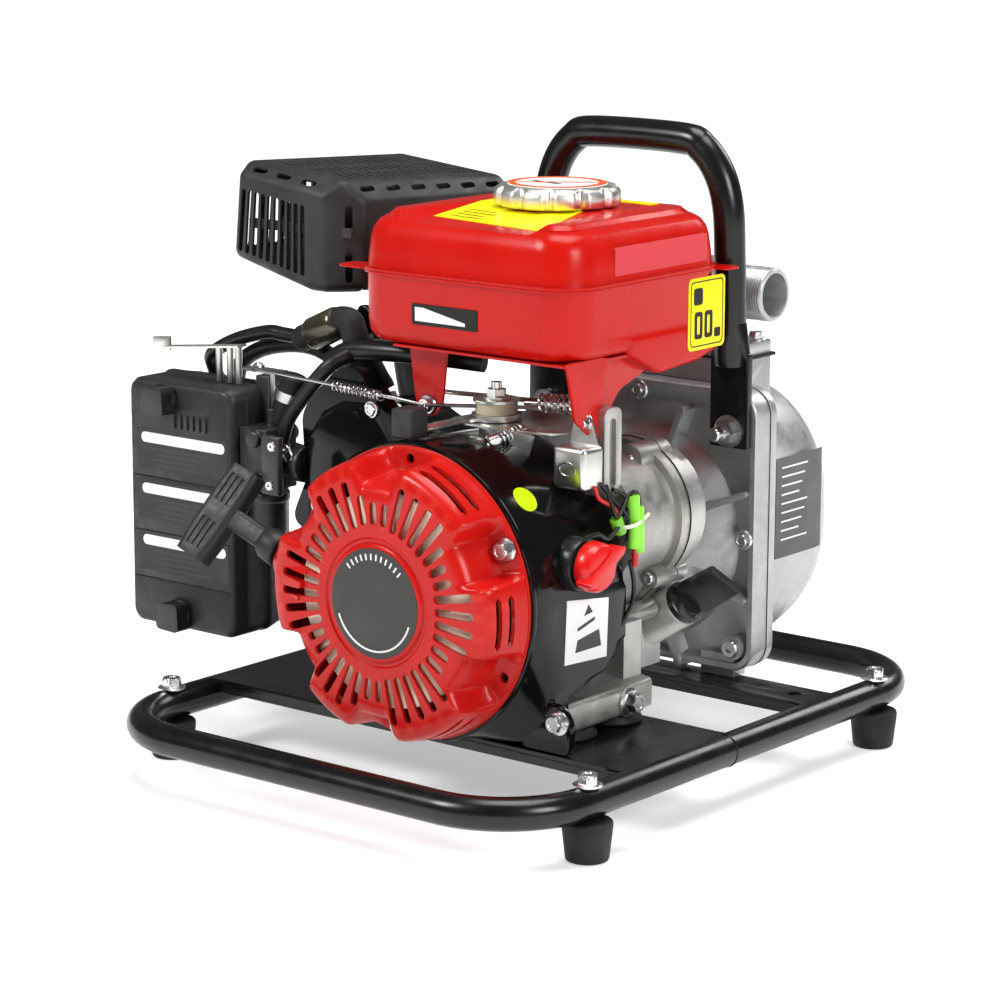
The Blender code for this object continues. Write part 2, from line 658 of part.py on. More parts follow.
def controls(root):
    plate = shape_object("control_plate", box((-4, -62, 212), (72, -30, 214)), root)
    join(plate, box((40, -64, 208), (62, -61, 214)))
    pivot = (17.0, -50.0, 214.3)
    lever = shape_object("throttle_lever",
                         turned([(14, 0), (14, 2), (12, 2.5), (12, 8), (5, 8.5, 6), (5, 13, 6)],
                                centre=pivot, sides=24), root, pivot, "zinc")
    join(lever, box((3, -110, 214.3), (13, -46, 216.3)))
    join(lever, box((0, -124, 212), (15, -108, 229)))
    post = (72.0, -24.0, 215.0)
    arm = shape_object("governor_arm", cylinder(4, -3, 14, (0, 0, 1), post, 16), root, post)
    rod = curve_points([(74, -24, 227), (30, -26, 228), (-50, -30, 229), (-105, -40, 231),
                        (-128, -54, 232)], 3)
    join(arm, sweep(rod, 1.3, 6))
    unit = shape_object("oil_alert_unit", box((86, -73, 186), (105, -50, 207)), root)
    join(unit, box((92, -68, 205), (94, -54, 228)))
    switch = (104.5, -82.0, 146.0)
    shape_object("switch_body", turned([(15, 0), (15, 1.5), (12, 2), (12, 5)], (1, 0, 0), switch,
                                       24), root, finish="black_plastic")
    centre = (switch[0] + 5.3, switch[1], switch[2])
    knob = shape_object("switch_knob", turned([(14, 0), (14, 5), (11, 9)], (1, 0, 0), centre, 24),
                        root, centre, "red_plastic")
    fin = prism([(-17.5, -6), (13, 10), (14, 7), (-15, -9)], "X", 0, 12)
    bmesh.ops.translate(fin, verts=fin.verts, vec=centre)
    join(knob, fin)
    plug_end = Vector(PLUG_SEAT) + Vector(PLUG_AXIS) * 60
    lead = [plug_end, plug_end + Vector(PLUG_AXIS) * 8, (-108, -50, 254), (-140, -44, 250),
            (-162, -36, 240), (-160, -22, 226), (-130, -12, 222), (-90, -8, 226), (-40, -8, 226),
            (0, -12, 216)]
    shape_object("ignition_lead", sweep(curve_points(lead, 3), 3.2, 8), root, finish="rubber")
    hose = [(-44, -50, 253), (-60, -62, 246), (-90, -82, 236), (-120, -80, 228), (-134, -77, 216),
            (-135, -76, 206.5)]
    shape_object("fuel_hose", sweep(curve_points(hose, 3), 3.4, 8), root, finish="rubber")


# ---------------------------------------------------------------- tank

def tank_outline(inset, corner):
    return rounded(TANK_X[0] + inset, TANK_Y[0] + inset, TANK_X[1] - inset, TANK_Y[1] - inset,
                   corner, 4)


def tank(root):
    seam_low = SEAM_Z - GAP / 2
    seam_high = SEAM_Z + GAP / 2
    rim = -3.0
    lower = shape_object("tank_lower",
                         loft([(TANK_BOTTOM, tank_outline(14, 16)),
                               (TANK_BOTTOM + 4, tank_outline(7, 20)),
                               (TANK_BOTTOM + 12, tank_outline(3, 22)),
                               (seam_low - 1.2, tank_outline(0, 24)),
                               (seam_low - 1.2, tank_outline(rim, 27)),
                               (seam_low, tank_outline(rim, 27))], "Z"), root,
                         finish="red_paint")
    cut(lower, loft([(TANK_BOTTOM + 2, tank_outline(16, 14)),
                     (TANK_BOTTOM + 14, tank_outline(5, 20)),
                     (seam_low + 2, tank_outline(2, 22))], "Z"))
    upper = shape_object("tank_upper",
                         loft([(seam_high, tank_outline(rim, 27)),
                               (seam_high + 1.2, tank_outline(rim, 27)),
                               (seam_high + 1.2, tank_outline(0, 24)),
                               (SEAM_Z + 20, tank_outline(1.5, 24)),
                               (TANK_TOP - 6, tank_outline(6, 22)),
                               (TANK_TOP, tank_outline(18, 16))], "Z"), root,
                         finish="red_paint")
    cut(upper, loft([(seam_high - 2, tank_outline(2, 22)), (SEAM_Z + 20, tank_outline(3.5, 22)),
                     (TANK_TOP - 8, tank_outline(8, 20)), (TANK_TOP - 2, tank_outline(20, 14))],
                    "Z"))
    neck = (CAP_XY[0], CAP_XY[1], 0)
    cut(upper, cylinder(22, TANK_TOP - 10, TANK_TOP + 10, (0, 0, 1), neck, 24))
    low = TANK_TOP + GAP
    cap = shape_object("fuel_cap",
                       turned([(21, low - 8), (21, low), (37, low), (37.5, low + 9),
                               (34, low + 12.5), (30, low + 13)], centre=neck, sides=30),
                       root, (neck[0], neck[1], low), "chrome")
    grips = []
    for i in range(12):
        angle = 2 * math.pi * i / 12
        centre = (neck[0] + 40.5 * math.cos(angle), neck[1] + 40.5 * math.sin(angle), 0)
        grips.append(cylinder(5.5, low - 2, low + 20, (0, 0, 1), centre, 8))
    cut(cap, merged(*grips))
    under = TANK_BOTTOM - GAP
    bracket = shape_object("tank_bracket", box((-36, -68, under - 2.5), (92, 52, under)), root,
                           finish="red_paint")
    inner = under - 1
    join(bracket, prism([(-36, inner), (-14, inner), (-17, 222), (-33, 222)], "Y", -68, -65.5))
    join(bracket, prism([(68, inner), (92, inner), (90, 220), (74, 220)], "Y", -68, -65.5))
    join(bracket, prism([(-68, inner), (-10, inner), (-26, 214), (-42, 214)], "X", 89.5, 92))


# ---------------------------------------------------------------- pump

def pump_outline(inset, corner):
    return rounded(PUMP_X[0] + inset, PUMP_Z[0] + inset, PUMP_X[1] - inset, PUMP_Z[1] - inset,
                   corner, 5)


def pump_plate(root):
    back = PLATE_Y + FLANGE_T
    plate = shape_object("pump_plate", prism(pump_outline(0, 16), "Y", PLATE_FRONT, back), root,
                         finish="pump_cast")
    cut(plate, prism(pump_outline(7, 12), "Y", PLATE_Y - 20, back - 4))
    centre = crank_centre(0)
    join(plate, turned([(46, 52.3), (46, 62), (40, 64), (40, back - 2)], (0, 1, 0), centre, 32))
    for i in range(8):
        angle = math.radians(22.5 + 45 * i)
        join(plate, radial_slot(angle, 34, 80, 3.5, 84, back - 2))
    cut(plate, turned([(36, 40), (36, 70), (30, 95)], (0, 1, 0), centre, 28))
    cut(plate, cylinder(SHAFT_R + GAP, 60, 120, (0, 1, 0), centre, 24))
    for x in (-52, 66):
        join(plate, box((x, PLATE_Y - 4, DECK_Z + GAP), (x + 24, back, 56)))
    for side in (-1, 1):
        boss = (HANDLE_X + side * HANDLE_HALF, 0, 196)
        join(plate, cylinder(11, PLATE_FRONT, back, (0, 1, 0), boss, 16))


def pump_casing(root):
    front = PLATE_Y + FLANGE_T + GAP
    sections = ((front, 0, 16), (front + 7, 0, 16), (front + 7.2, 5, 40), (160, 4, 62),
                (180, 10, 66), (192, 22, 60), (200, 36, 46), (CASING_REAR, 52, 34))
    casing = shape_object("pump_casing",
                          loft([(y, pump_outline(inset, corner)) for y, inset, corner in sections],
                               "Y"), root, finish="pump_cast")
    join(casing, box((2, front, 196), (80, 142, 234.7)))
    join(casing, cylinder(14, 190, 226, (0, 0, 1), (PRIMING_XY[0], PRIMING_XY[1], 0), 20))
    join(casing, cylinder(10, 160, DRAIN_Y, (0, 1, 0), (CRANK_X, 0, 76), 16))
    inside = ((front - 2, 9, 44), (158, 9, 58), (177, 15, 62), (197, 48, 36))
    cut(casing, loft([(y, pump_outline(inset, corner)) for y, inset, corner in inside], "Y"))
    cut(casing, cylinder(PORT_BORE, 180, 220, (0, 1, 0), SUCTION, 20))
    cut(casing, cylinder(PORT_BORE, 190, 240, (0, 0, 1), (ELBOW_X, STUB_Y, 0), 20))
    cut(casing, cylinder(8.3, 190, 240, (0, 0, 1), (PRIMING_XY[0], PRIMING_XY[1], 0), 16))
    cut(casing, cylinder(5.3, 150, 220, (0, 1, 0), (CRANK_X, 0, 76), 12))


def pump_fittings(root):
    elbow = shape_object("discharge_elbow", box((2, 103.5, 235), (80, 142, 243)), root,
                         finish="pump_cast")
    join(elbow, cylinder(19, 240, STUB_Z, (0, 0, 1), (ELBOW_X, STUB_Y, 0), 24))
    join(elbow, turned([(19, ELBOW_X - 10), (20, ELBOW_X), (19, 60), (PORT_R, 62),
                        (PORT_R, 92)], (1, 0, 0), (0, STUB_Y, STUB_Z), 24))
    cut(elbow, cylinder(PORT_BORE, 230, STUB_Z, (0, 0, 1), (ELBOW_X, STUB_Y, 0), 20))
    cut(elbow, cylinder(PORT_BORE, ELBOW_X - 4, 100, (1, 0, 0), (0, STUB_Y, STUB_Z), 20))
    near = CASING_REAR + GAP
    port = [(PORT_BORE, near), (28, near), (28, near + 6), (20, near + 8), (PORT_R, near + 10),
            (PORT_R, SUCTION_END), (PORT_BORE, SUCTION_END)]
    shape_object("suction_port", lathe(port, (0, 1, 0), SUCTION, 28), root, finish="pump_cast")
    prime = (PRIMING_XY[0], PRIMING_XY[1], 226)
    shape_object("priming_plug", turned([(8, -14), (8, GAP), (14, GAP), (14, 4), (10, 4.5, 6),
                                         (10, 12, 6)], centre=prime, sides=24),
                 root, prime, "black_plastic")
    drain = (CRANK_X, DRAIN_Y, 76)
    shape_object("drain_plug", turned([(5, -12), (5, GAP), (9, GAP), (9, 2), (7, 2.2, 6),
                                       (7, 9, 6)], (0, 1, 0), drain, 12), root, drain, "brass")


def carry_handle(root):
    half, top = HANDLE_HALF, HANDLE_TOP
    left = [(-half, 236, 84.0), (-half, 262, 83.5), (-half + 1, 300, 83.0), (-half + 2.5, 330, 82.3),
            (-half + 9, 350, 82.0), (-half + 21, 364, 81.7), (-half + 36, top, 81.5)]
    right = [(-x, z, y) for x, z, y in reversed(left)]
    path = [(HANDLE_X + x, y, z) for x, z, y in left + right]
    handle = shape_object("carry_handle", sweep(curve_points(path, 2), TUBE_R, 12), root,
                          finish="black_paint")
    for way in (-1, 1):
        x = HANDLE_X + way * half
        strap = box((x - 13.5, PLATE_FRONT - 4.6, 186), (x + 13.5, PLATE_FRONT - GAP, 246))
        join(handle, strap)


def main():
    clear_scene()
    root = bpy.data.objects.new("pump_set", None)
    bpy.context.scene.collection.objects.link(root)
    root.location = Vector((-MIDDLE_X, -MIDDLE_Y, 0)) * MM
    builders = (base_frame, feet, engine_mounts, crankcase, crankcase_cover, oil_cap,
                cylinder_parts, blower_housing, recoil_cover, starter_grip, crank_parts, intake,
                exhaust, controls, tank, pump_plate, pump_casing, pump_fittings, carry_handle)
    for builder in builders:
        builder(root)


main()
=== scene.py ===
"""Looks of the portable fire pump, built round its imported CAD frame.

Shapes are given in millimetres from the middle of the base frame, as in the CAD source:
+X is the side with the switch and oil filler, -Y the recoil-starter end, +Y the pump end, +Z up.
"""
import math

import bmesh
import bpy
from mathutils import Matrix, Vector


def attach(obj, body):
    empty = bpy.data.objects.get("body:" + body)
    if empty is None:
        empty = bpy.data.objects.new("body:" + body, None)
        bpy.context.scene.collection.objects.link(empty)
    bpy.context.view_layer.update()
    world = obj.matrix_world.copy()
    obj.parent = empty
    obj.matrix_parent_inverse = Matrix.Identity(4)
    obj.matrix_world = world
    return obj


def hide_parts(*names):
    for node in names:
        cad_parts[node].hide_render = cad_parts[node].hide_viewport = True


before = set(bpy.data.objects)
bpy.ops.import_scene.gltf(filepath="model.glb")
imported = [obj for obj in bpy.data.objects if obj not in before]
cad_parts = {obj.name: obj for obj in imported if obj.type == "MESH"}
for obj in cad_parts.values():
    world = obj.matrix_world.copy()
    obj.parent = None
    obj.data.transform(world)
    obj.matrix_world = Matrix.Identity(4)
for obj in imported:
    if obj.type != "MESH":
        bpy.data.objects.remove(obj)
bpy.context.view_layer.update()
MAIN = "main_assembly"
MM = 0.001
RIGHT, REAR, FRONT, UP = (1, 0, 0), (0, 1, 0), (0, -1, 0), (0, 0, 1)
ORIGIN = Vector((31.2, -15.5, 0.0))     # middle of the base frame, in the row frame
TO_ROW = Matrix.Scale(MM, 4) @ Matrix.Translation(ORIGIN)


# ---------------------------------------------------------------- finishes

def finish_of(name, colour, rough, metal=0.0, coat=0.0, bump=0.1, grain=900.0, mottle=0.12,
              wear=0.0, worn=(0.45, 0.45, 0.45), spots=0.0, shine=0.5):
    """A procedural finish: mottled colour, uneven roughness, fine grain and worn edges."""
    made = bpy.data.materials.new(name)
    made.use_nodes = True
    nodes, links = made.node_tree.nodes, made.node_tree.links
    shader = nodes["Principled BSDF"]
    shader.inputs["Metallic"].default_value = metal
    shader.inputs["Specular IOR Level"].default_value = shine
    shader.inputs["Coat Weight"].default_value = coat
    shader.inputs["Coat Roughness"].default_value = 0.06
    where = nodes.new("ShaderNodeTexCoord")

    def noise(scale, detail):
        texture = nodes.new("ShaderNodeTexNoise")
        texture.inputs["Scale"].default_value = scale
        texture.inputs["Detail"].default_value = detail
        links.new(where.outputs["Object"], texture.inputs["Vector"])
        return texture.outputs["Fac"]

    def between(value, low, high):
        spread = nodes.new("ShaderNodeMapRange")
        spread.inputs["From Min"].default_value = 0.3
        spread.inputs["From Max"].default_value = 0.7
        spread.inputs["To Min"].default_value = low
        spread.inputs["To Max"].default_value = high
        links.new(value, spread.inputs["Value"])
        return spread.outputs["Result"]

    def mixed(factor, first, second):
        mix = nodes.new("ShaderNodeMix")
        mix.data_type = "RGBA"
        links.new(factor, mix.inputs["Factor"])
        for socket, value in (("A", first), ("B", second)):
            target = [i for i in mix.inputs if i.name == socket and i.type == "RGBA"][0]
            if isinstance(value, tuple):
                target.default_value = value
            else:
                links.new(value, target)
        return [o for o in mix.outputs if o.type == "RGBA"][0]

    broad = noise(35.0, 3.0)
    fine = noise(grain, 6.0)
    dark = tuple(c * (1 - mottle) for c in colour) + (1.0,)
    light = tuple(min(1.0, c * (1 + mottle)) for c in colour) + (1.0,)
    tint = mixed(between(broad, 0.0, 1.0), dark, light)
    if spots:
        cells = nodes.new("ShaderNodeTexVoronoi")
        cells.inputs["Scale"].default_value = grain * 0.7
        links.new(where.outputs["Object"], cells.inputs["Vector"])
        tint = mixed(between(cells.outputs["Distance"], spots, 0.0), tint,
                     tuple(c * 0.55 for c in colour) + (1.0,))
    if wear:
        shape = nodes.new("ShaderNodeNewGeometry")
        edge = nodes.new("ShaderNodeMapRange")
        edge.inputs["From Min"].default_value = 0.53
        edge.inputs["From Max"].default_value = 0.62
        edge.inputs["To Max"].default_value = wear
        links.new(shape.outputs["Pointiness"], edge.inputs["Value"])
        tint = mixed(edge.outputs["Result"], tint, worn + (1.0,))
    links.new(tint, shader.inputs["Base Color"])
    links.new(between(noise(grain * 0.12, 4.0), rough * 0.8, min(1.0, rough * 1.25)),
              shader.inputs["Roughness"])
    raised = nodes.new("ShaderNodeBump")
    raised.inputs["Strength"].default_value = bump
    raised.inputs["Distance"].default_value = 0.0004
    links.new(fine, raised.inputs["Height"])
    links.new(raised.outputs["Normal"], shader.inputs["Normal"])
    return made


LOOKS = {
    "red_paint": dict(colour=(0.47, 0.006, 0.003), rough=0.26, coat=0.06, bump=0.015, grain=350,
                      mottle=0.06, shine=0.16),
    "red_cover": dict(colour=(0.47, 0.006, 0.004), rough=0.26, coat=0.10, bump=0.03, grain=300,
                      mottle=0.08, shine=0.2, wear=0.2, worn=(0.7, 0.06, 0.03)),
    "black_gloss": dict(colour=(0.003, 0.003, 0.003), rough=0.12, coat=0.05, bump=0.015, grain=350,
                        mottle=0.2, shine=0.22),
    "frame_black": dict(colour=(0.004, 0.004, 0.004), rough=0.24, coat=0.0, bump=0.04, grain=500,
                        mottle=0.2, shine=0.4),
    "guard_black": dict(colour=(0.020, 0.018, 0.018), rough=0.5, bump=0.25, grain=900, mottle=0.3,
                        shine=0.35, wear=0.2, worn=(0.08, 0.07, 0.07)),
    "bare_cast": dict(colour=(0.42, 0.41, 0.39), rough=0.40, metal=0.85, bump=0.3, grain=1100,
                      mottle=0.16, wear=0.35, worn=(0.75, 0.75, 0.74), spots=0.25),
    "grey_cast": dict(colour=(0.46, 0.47, 0.48), rough=0.42, metal=0.8, bump=0.3, grain=1300,
                      mottle=0.14, wear=0.4, worn=(0.65, 0.65, 0.65), spots=0.2),
    "dome_cast": dict(colour=(0.46, 0.47, 0.48), rough=0.36, metal=0.75, bump=0.18, grain=1500,
                      mottle=0.08, spots=0.12),
    "zinc": dict(colour=(0.62, 0.62, 0.59), rough=0.32, metal=1.0, bump=0.015, grain=420,
                 mottle=0.2, wear=0.3, worn=(0.9, 0.9, 0.88)),
    "bolt_zinc": dict(colour=(0.60, 0.60, 0.60), rough=0.27, metal=1.0, bump=0.02, grain=700,
                      mottle=0.22),
    "chrome": dict(colour=(0.80, 0.78, 0.74), rough=0.36, metal=1.0, bump=0.003, grain=300,
                   mottle=0.05),
    "plastic": dict(colour=(0.016, 0.016, 0.017), rough=0.44, bump=0.25, grain=1700, mottle=0.15,
                    shine=0.35, wear=0.2, worn=(0.06, 0.06, 0.06)),
    "smooth_plastic": dict(colour=(0.010, 0.010, 0.010), rough=0.28, bump=0.06, grain=700,
                           mottle=0.2, shine=0.4, wear=0.2, worn=(0.05, 0.05, 0.05)),
    "rubber": dict(colour=(0.010, 0.010, 0.010), rough=0.6, bump=0.2, grain=900, mottle=0.25,
                   shine=0.3),
    "wire": dict(colour=(0.007, 0.007, 0.007), rough=0.32, bump=0.04, grain=700, mottle=0.2,
                 shine=0.4),
    "hose": dict(colour=(0.009, 0.009, 0.009), rough=0.42, bump=0.06, grain=1200, mottle=0.3,
                 shine=0.4),
    "red_wire": dict(colour=(0.5, 0.01, 0.01), rough=0.35, bump=0.05, grain=700),
    "red_knob": dict(colour=(0.62, 0.005, 0.004), rough=0.3, coat=0.2, bump=0.03, grain=800,
                     mottle=0.06, shine=0.35),
    "cream": dict(colour=(0.50, 0.45, 0.31), rough=0.5, bump=0.12, grain=900, mottle=0.1),
    # The reel's cream is painted far lighter than the fan's cream: painted light standing in for the light
    # that gets in through the recoil cover's slots.
    "painted_light_reel": dict(colour=(0.92, 0.85, 0.66), rough=0.5, bump=0.15, grain=900, mottle=0.12),
    "foam": dict(colour=(0.09, 0.09, 0.09), rough=0.95, bump=0.9, grain=1500, mottle=0.3),
    "cord": dict(colour=(0.05, 0.05, 0.05), rough=0.9, bump=0.7, grain=1500, mottle=0.4),
    "brass": dict(colour=(0.50, 0.37, 0.15), rough=0.34, metal=1.0, bump=0.1, grain=700,
                  mottle=0.2),
    "pot_metal": dict(colour=(0.022, 0.021, 0.02), rough=0.36, metal=0.3, bump=0.2, grain=900,
                      mottle=0.25, wear=0.3, worn=(0.30, 0.29, 0.27)),
    "steel": dict(colour=(0.52, 0.52, 0.53), rough=0.25, metal=1.0, bump=0.03, grain=600),
    "sleeve": dict(colour=(0.11, 0.10, 0.07), rough=0.2, metal=0.8, bump=0.3, grain=260,
                   mottle=0.6),
    "gasket": dict(colour=(0.008, 0.008, 0.008), rough=0.6, bump=0.15, grain=900, shine=0.3),
    "yellow": dict(colour=(0.86, 0.74, 0.0), rough=0.4, bump=0.03, grain=300, mottle=0.03,
                   shine=0.25),
    "lime": dict(colour=(0.52, 0.80, 0.0), rough=0.4, bump=0.03, grain=300, mottle=0.03,
                 shine=0.25),
    "green": dict(colour=(0.22, 0.70, 0.02), rough=0.22, coat=0.3, bump=0.1, grain=260,
                  mottle=0.45, shine=0.4),
    "nylon": dict(colour=(0.66, 0.72, 0.58), rough=0.4, bump=0.05, grain=500, mottle=0.05),
    "white": dict(colour=(0.78, 0.78, 0.78), rough=0.5, bump=0.03, grain=300, mottle=0.03,
                  shine=0.3),
    "print_black": dict(colour=(0.012, 0.012, 0.012), rough=0.5, bump=0.02, grain=300, shine=0.25),
    "print_grey": dict(colour=(0.045, 0.043, 0.040), rough=0.45, bump=0.03, grain=500, mottle=0.08,
                       shine=0.3),
    "panel_grey": dict(colour=(0.030, 0.029, 0.029), rough=0.5, bump=0.04, grain=900, mottle=0.1,
                       shine=0.3),
    "print_orange": dict(colour=(0.80, 0.10, 0.01), rough=0.4, bump=0.03, grain=300),
    "plate_grey": dict(colour=(0.10, 0.10, 0.102), rough=0.45, metal=0.2, bump=0.03, grain=500,
                       mottle=0.08, shine=0.3),
    "pale_red": dict(colour=(0.56, 0.030, 0.040), rough=0.42, bump=0.03, grain=300, mottle=0.04,
                     shine=0.3),
}
FINISH = {name: finish_of(name, **look) for name, look in LOOKS.items()}

# The material slots of the looks that have one.
SLOTS = {
    "black_paint": ("frame_black", "black_gloss"),
    "red_paint": ("red_cover", "red_paint"),
    "black_plastic": ("smooth_plastic", "painted_light_reel", "plastic"),
    "cream_plastic": ("cream",),
    "zinc_plated": ("bolt_zinc", "zinc", "steel"),
    "engine_cast": ("bare_cast",),
    "rubber": ("gasket", "hose", "wire", "rubber", "sleeve", "red_wire", "nylon", "green"),
    "brass": ("pot_metal", "brass"),
    "satin_black": ("guard_black",),
    "red_plastic": ("red_knob",),
    "chrome": ("chrome",),
    "pump_cast": ("grey_cast", "dome_cast"),
}
SLOT_OF = {look: slot for slot, looks in SLOTS.items() for look in looks}


# ---------------------------------------------------------------- shapes

PILL_STEPS = 6          # straight steps in each round end of a slot
WIRE_SIDES = 8
ELLIPSE_POINTS = 32
STEPS_PER_TURN = 14     # of a coil spring

def axis_matrix(axis, centre):
    turn = Vector(axis).normalized().to_track_quat("Z", "Y").to_matrix().to_4x4()
    return Matrix.Translation(Vector(centre)) @ turn


def ring(bm, radius, height, sides, flats, matrix):
    points = []
    for i in range(sides):
        angle = 2 * math.pi * i / sides
        reach = radius
        if flats:
            sector = math.pi / flats
            reach = radius * math.cos(sector) / math.cos((angle % (2 * sector)) - sector)
        point = Vector((reach * math.cos(angle), reach * math.sin(angle), height))
        points.append(bm.verts.new(matrix @ point))
    return points


def bridge(bm, low, high):
    count = len(low)
    for i in range(count):
        j = (i + 1) % count
        bm.faces.new((low[i], low[j], high[j], high[i]))


def turned(rings, axis=UP, centre=(0, 0, 0), sides=48):
    """A solid of stacked rings: each is (radius, height) or (radius, height, flats)."""
    bm = bmesh.new()
    matrix = axis_matrix(axis, centre)
    loops = [ring(bm, r[0], r[1], sides, r[2] if len(r) > 2 else 0, matrix) for r in rings]
    for low, high in zip(loops, loops[1:]):
        bridge(bm, low, high)
    bm.faces.new(loops[0])
    bm.faces.new(loops[-1])
    return bm


def lathe(profile, axis=REAR, centre=(0, 0, 0), sides=64):
    """A ring-shaped solid: a closed (radius, height) profile turned about the axis."""
    bm = bmesh.new()
    matrix = axis_matrix(axis, centre)
    loops = [ring(bm, radius, height, sides, 0, matrix) for radius, height in profile]
    for low, high in zip(loops, loops[1:] + loops[:1]):
        bridge(bm, low, high)
    return bm


def cylinder(radius, start, end, axis, centre, sides=32):
    return turned([(radius, start), (radius, end)], axis, centre, sides)


def place(axis, p, q, along):
    if axis == "X":
        return (along, p, q)
    if axis == "Y":
        return (p, along, q)
    return (p, q, along)


def loft(sections, axis):
    """A solid through outlines of equal length: each section is (along, outline)."""
    bm = bmesh.new()
    loops = []
    for along, outline in sections:
        loops.append([bm.verts.new(place(axis, p, q, along)) for p, q in outline])
    for low, high in zip(loops, loops[1:]):
        bridge(bm, low, high)
    bm.faces.new(loops[0])
    bm.faces.new(loops[-1])
    return bm


def prism(outline, axis, start, end):
    return loft([(start, outline), (end, outline)], axis)


def box(low, high):
    return prism([(low[0], low[1]), (high[0], low[1]), (high[0], high[1]), (low[0], high[1])],
                 "Z", low[2], high[2])


def arc(cx, cy, radius, start, end, steps):
    points = []
    for i in range(steps + 1):
        angle = math.radians(start + (end - start) * i / steps)
        points.append((cx + radius * math.cos(angle), cy + radius * math.sin(angle)))
    return points


def ellipse(cx, cy, half_width, half_height):
    angles = [2 * math.pi * i / ELLIPSE_POINTS for i in range(ELLIPSE_POINTS)]
    return [(cx + half_width * math.cos(a), cy + half_height * math.sin(a)) for a in angles]


def rounded(x0, y0, x1, y1, radius, steps=8):
    return (arc(x1 - radius, y0 + radius, radius, -90, 0, steps)
            + arc(x1 - radius, y1 - radius, radius, 0, 90, steps)
            + arc(x0 + radius, y1 - radius, radius, 90, 180, steps)
            + arc(x0 + radius, y0 + radius, radius, 180, 270, steps))


def round_corners(points, radius, steps=5):
    """The outline with each corner rounded."""
    rounded_points = []
    count = len(points)
    for i in range(count):
        before, here, after = (Vector(points[i - 1]), Vector(points[i]),
                               Vector(points[(i + 1) % count]))
        reach = min(radius, (before - here).length * 0.45, (after - here).length * 0.45)
        start = here + (before - here).normalized() * reach
        end = here + (after - here).normalized() * reach
        for k in range(steps + 1):
            t = k / steps
            point = start * (1 - t) ** 2 + here * 2 * t * (1 - t) + end * t * t
            rounded_points.append((point.x, point.y))
    return rounded_points


def inset_outline(points, amount):
    """The convex outline moved inwards by the amount."""
    count = len(points)
    centre = sum((Vector(p) for p in points), Vector((0, 0))) / count
    lines = []
    for i in range(count):
        here, there = Vector(points[i]), Vector(points[(i + 1) % count])
        normal = Vector((there.y - here.y, here.x - there.x)).normalized()
        if normal.dot(centre - here) < 0:
            normal.negate()
        lines.append((here + normal * amount, there - here))
    moved = []
    for i in range(count):
        (p, d), (q, e) = lines[i - 1], lines[i]
        t = ((q.x - p.x) * e.y - (q.y - p.y) * e.x) / (d.x * e.y - d.y * e.x)
        moved.append(tuple(p + d * t))
    return moved


def pill(cx, cy, length, width, turn=0.0):
    """A slot outline: a bar with round ends, turned by an angle in degrees."""
    half = length / 2 - width / 2
    points = (arc(half, 0, width / 2, -90, 90, PILL_STEPS)
              + arc(-half, 0, width / 2, 90, 270, PILL_STEPS))
    c, s = math.cos(math.radians(turn)), math.sin(math.radians(turn))
    return [(cx + x * c - y * s, cy + x * s + y * c) for x, y in points]


def sweep(points, radius, sides=16, closed=False):
    """A round tube along a path; radius may be one number or one per point."""
    bm = bmesh.new()
    path = [Vector(p) for p in points]
    count = len(path)
    loops = []
    normal = None
    for i in range(count):
        if closed:
            heading = (path[(i + 1) % count] - path[i - 1]).normalized()
        else:
            heading = (path[min(i + 1, count - 1)] - path[max(i - 1, 0)]).normalized()
        if normal is None:
            helper = Vector(UP) if abs(heading.z) < 0.9 else Vector(REAR)
            normal = heading.cross(helper).normalized()
        normal = (normal - heading * normal.dot(heading)).normalized()
        side = heading.cross(normal)
        reach = radius[i] if isinstance(radius, list) else radius
        loop = []
        for k in range(sides):
            angle = 2 * math.pi * k / sides
            offset = normal * math.cos(angle) + side * math.sin(angle)
            loop.append(bm.verts.new(path[i] + offset * reach))
        loops.append(loop)
    for low, high in zip(loops, loops[1:]):
        bridge(bm, low, high)
    if closed:
        bridge(bm, loops[-1], loops[0])
    else:
        bm.faces.new(loops[0])
        bm.faces.new(loops[-1])
    return bm


def curve(knots, steps=8):
    """Points on a smooth curve through the knots."""
    path = [Vector(k) for k in knots]
    path = [2 * path[0] - path[1], *path, 2 * path[-1] - path[-2]]
    points = []
    for a, b, c, d in zip(path, path[1:], path[2:], path[3:]):
        for i in range(steps):
            t = i / steps
            points.append(0.5 * (2 * b + (c - a) * t + (2 * a - 5 * b + 4 * c - d) * t * t
                                 + (3 * b - a - 3 * c + d) * t ** 3))
    points.append(path[-2])
    return points


def coil(start, end, radius, turns, wire):
    """A coil spring between two points."""
    start, end = Vector(start), Vector(end)
    matrix = axis_matrix(end - start, start)
    length = (end - start).length
    count = int(turns * STEPS_PER_TURN)
    points = []
    for i in range(count + 1):
        angle = 2 * math.pi * turns * i / count
        points.append(matrix @ Vector((radius * math.cos(angle), radius * math.sin(angle),
                                       length * i / count)))
    return sweep(points, wire, WIRE_SIDES)


def merged(*shapes):
    whole = bmesh.new()
    for shape in shapes:
        copy = bpy.data.meshes.new("shape")
        bmesh.ops.recalc_face_normals(shape, faces=shape.faces)
        shape.to_mesh(copy)
        shape.free()
        whole.from_mesh(copy)
        bpy.data.meshes.remove(copy)
    return whole


def hex_bolt(centre, axis, across=5.8, washer=7.6, height=5.5, shank=4.0):
    """A flange bolt's head: washer, six-sided head with a chamfer and a dished top."""
    return turned([(3.0, -shank), (3.0, 0), (washer, 0), (washer, 0.7), (across + 0.7, 1.7),
                   (across, 1.8, 6), (across, height - 0.8, 6), (across - 0.9, height),
                   (across * 0.55, height), (across * 0.5, height - 0.5)], axis, centre, 36)


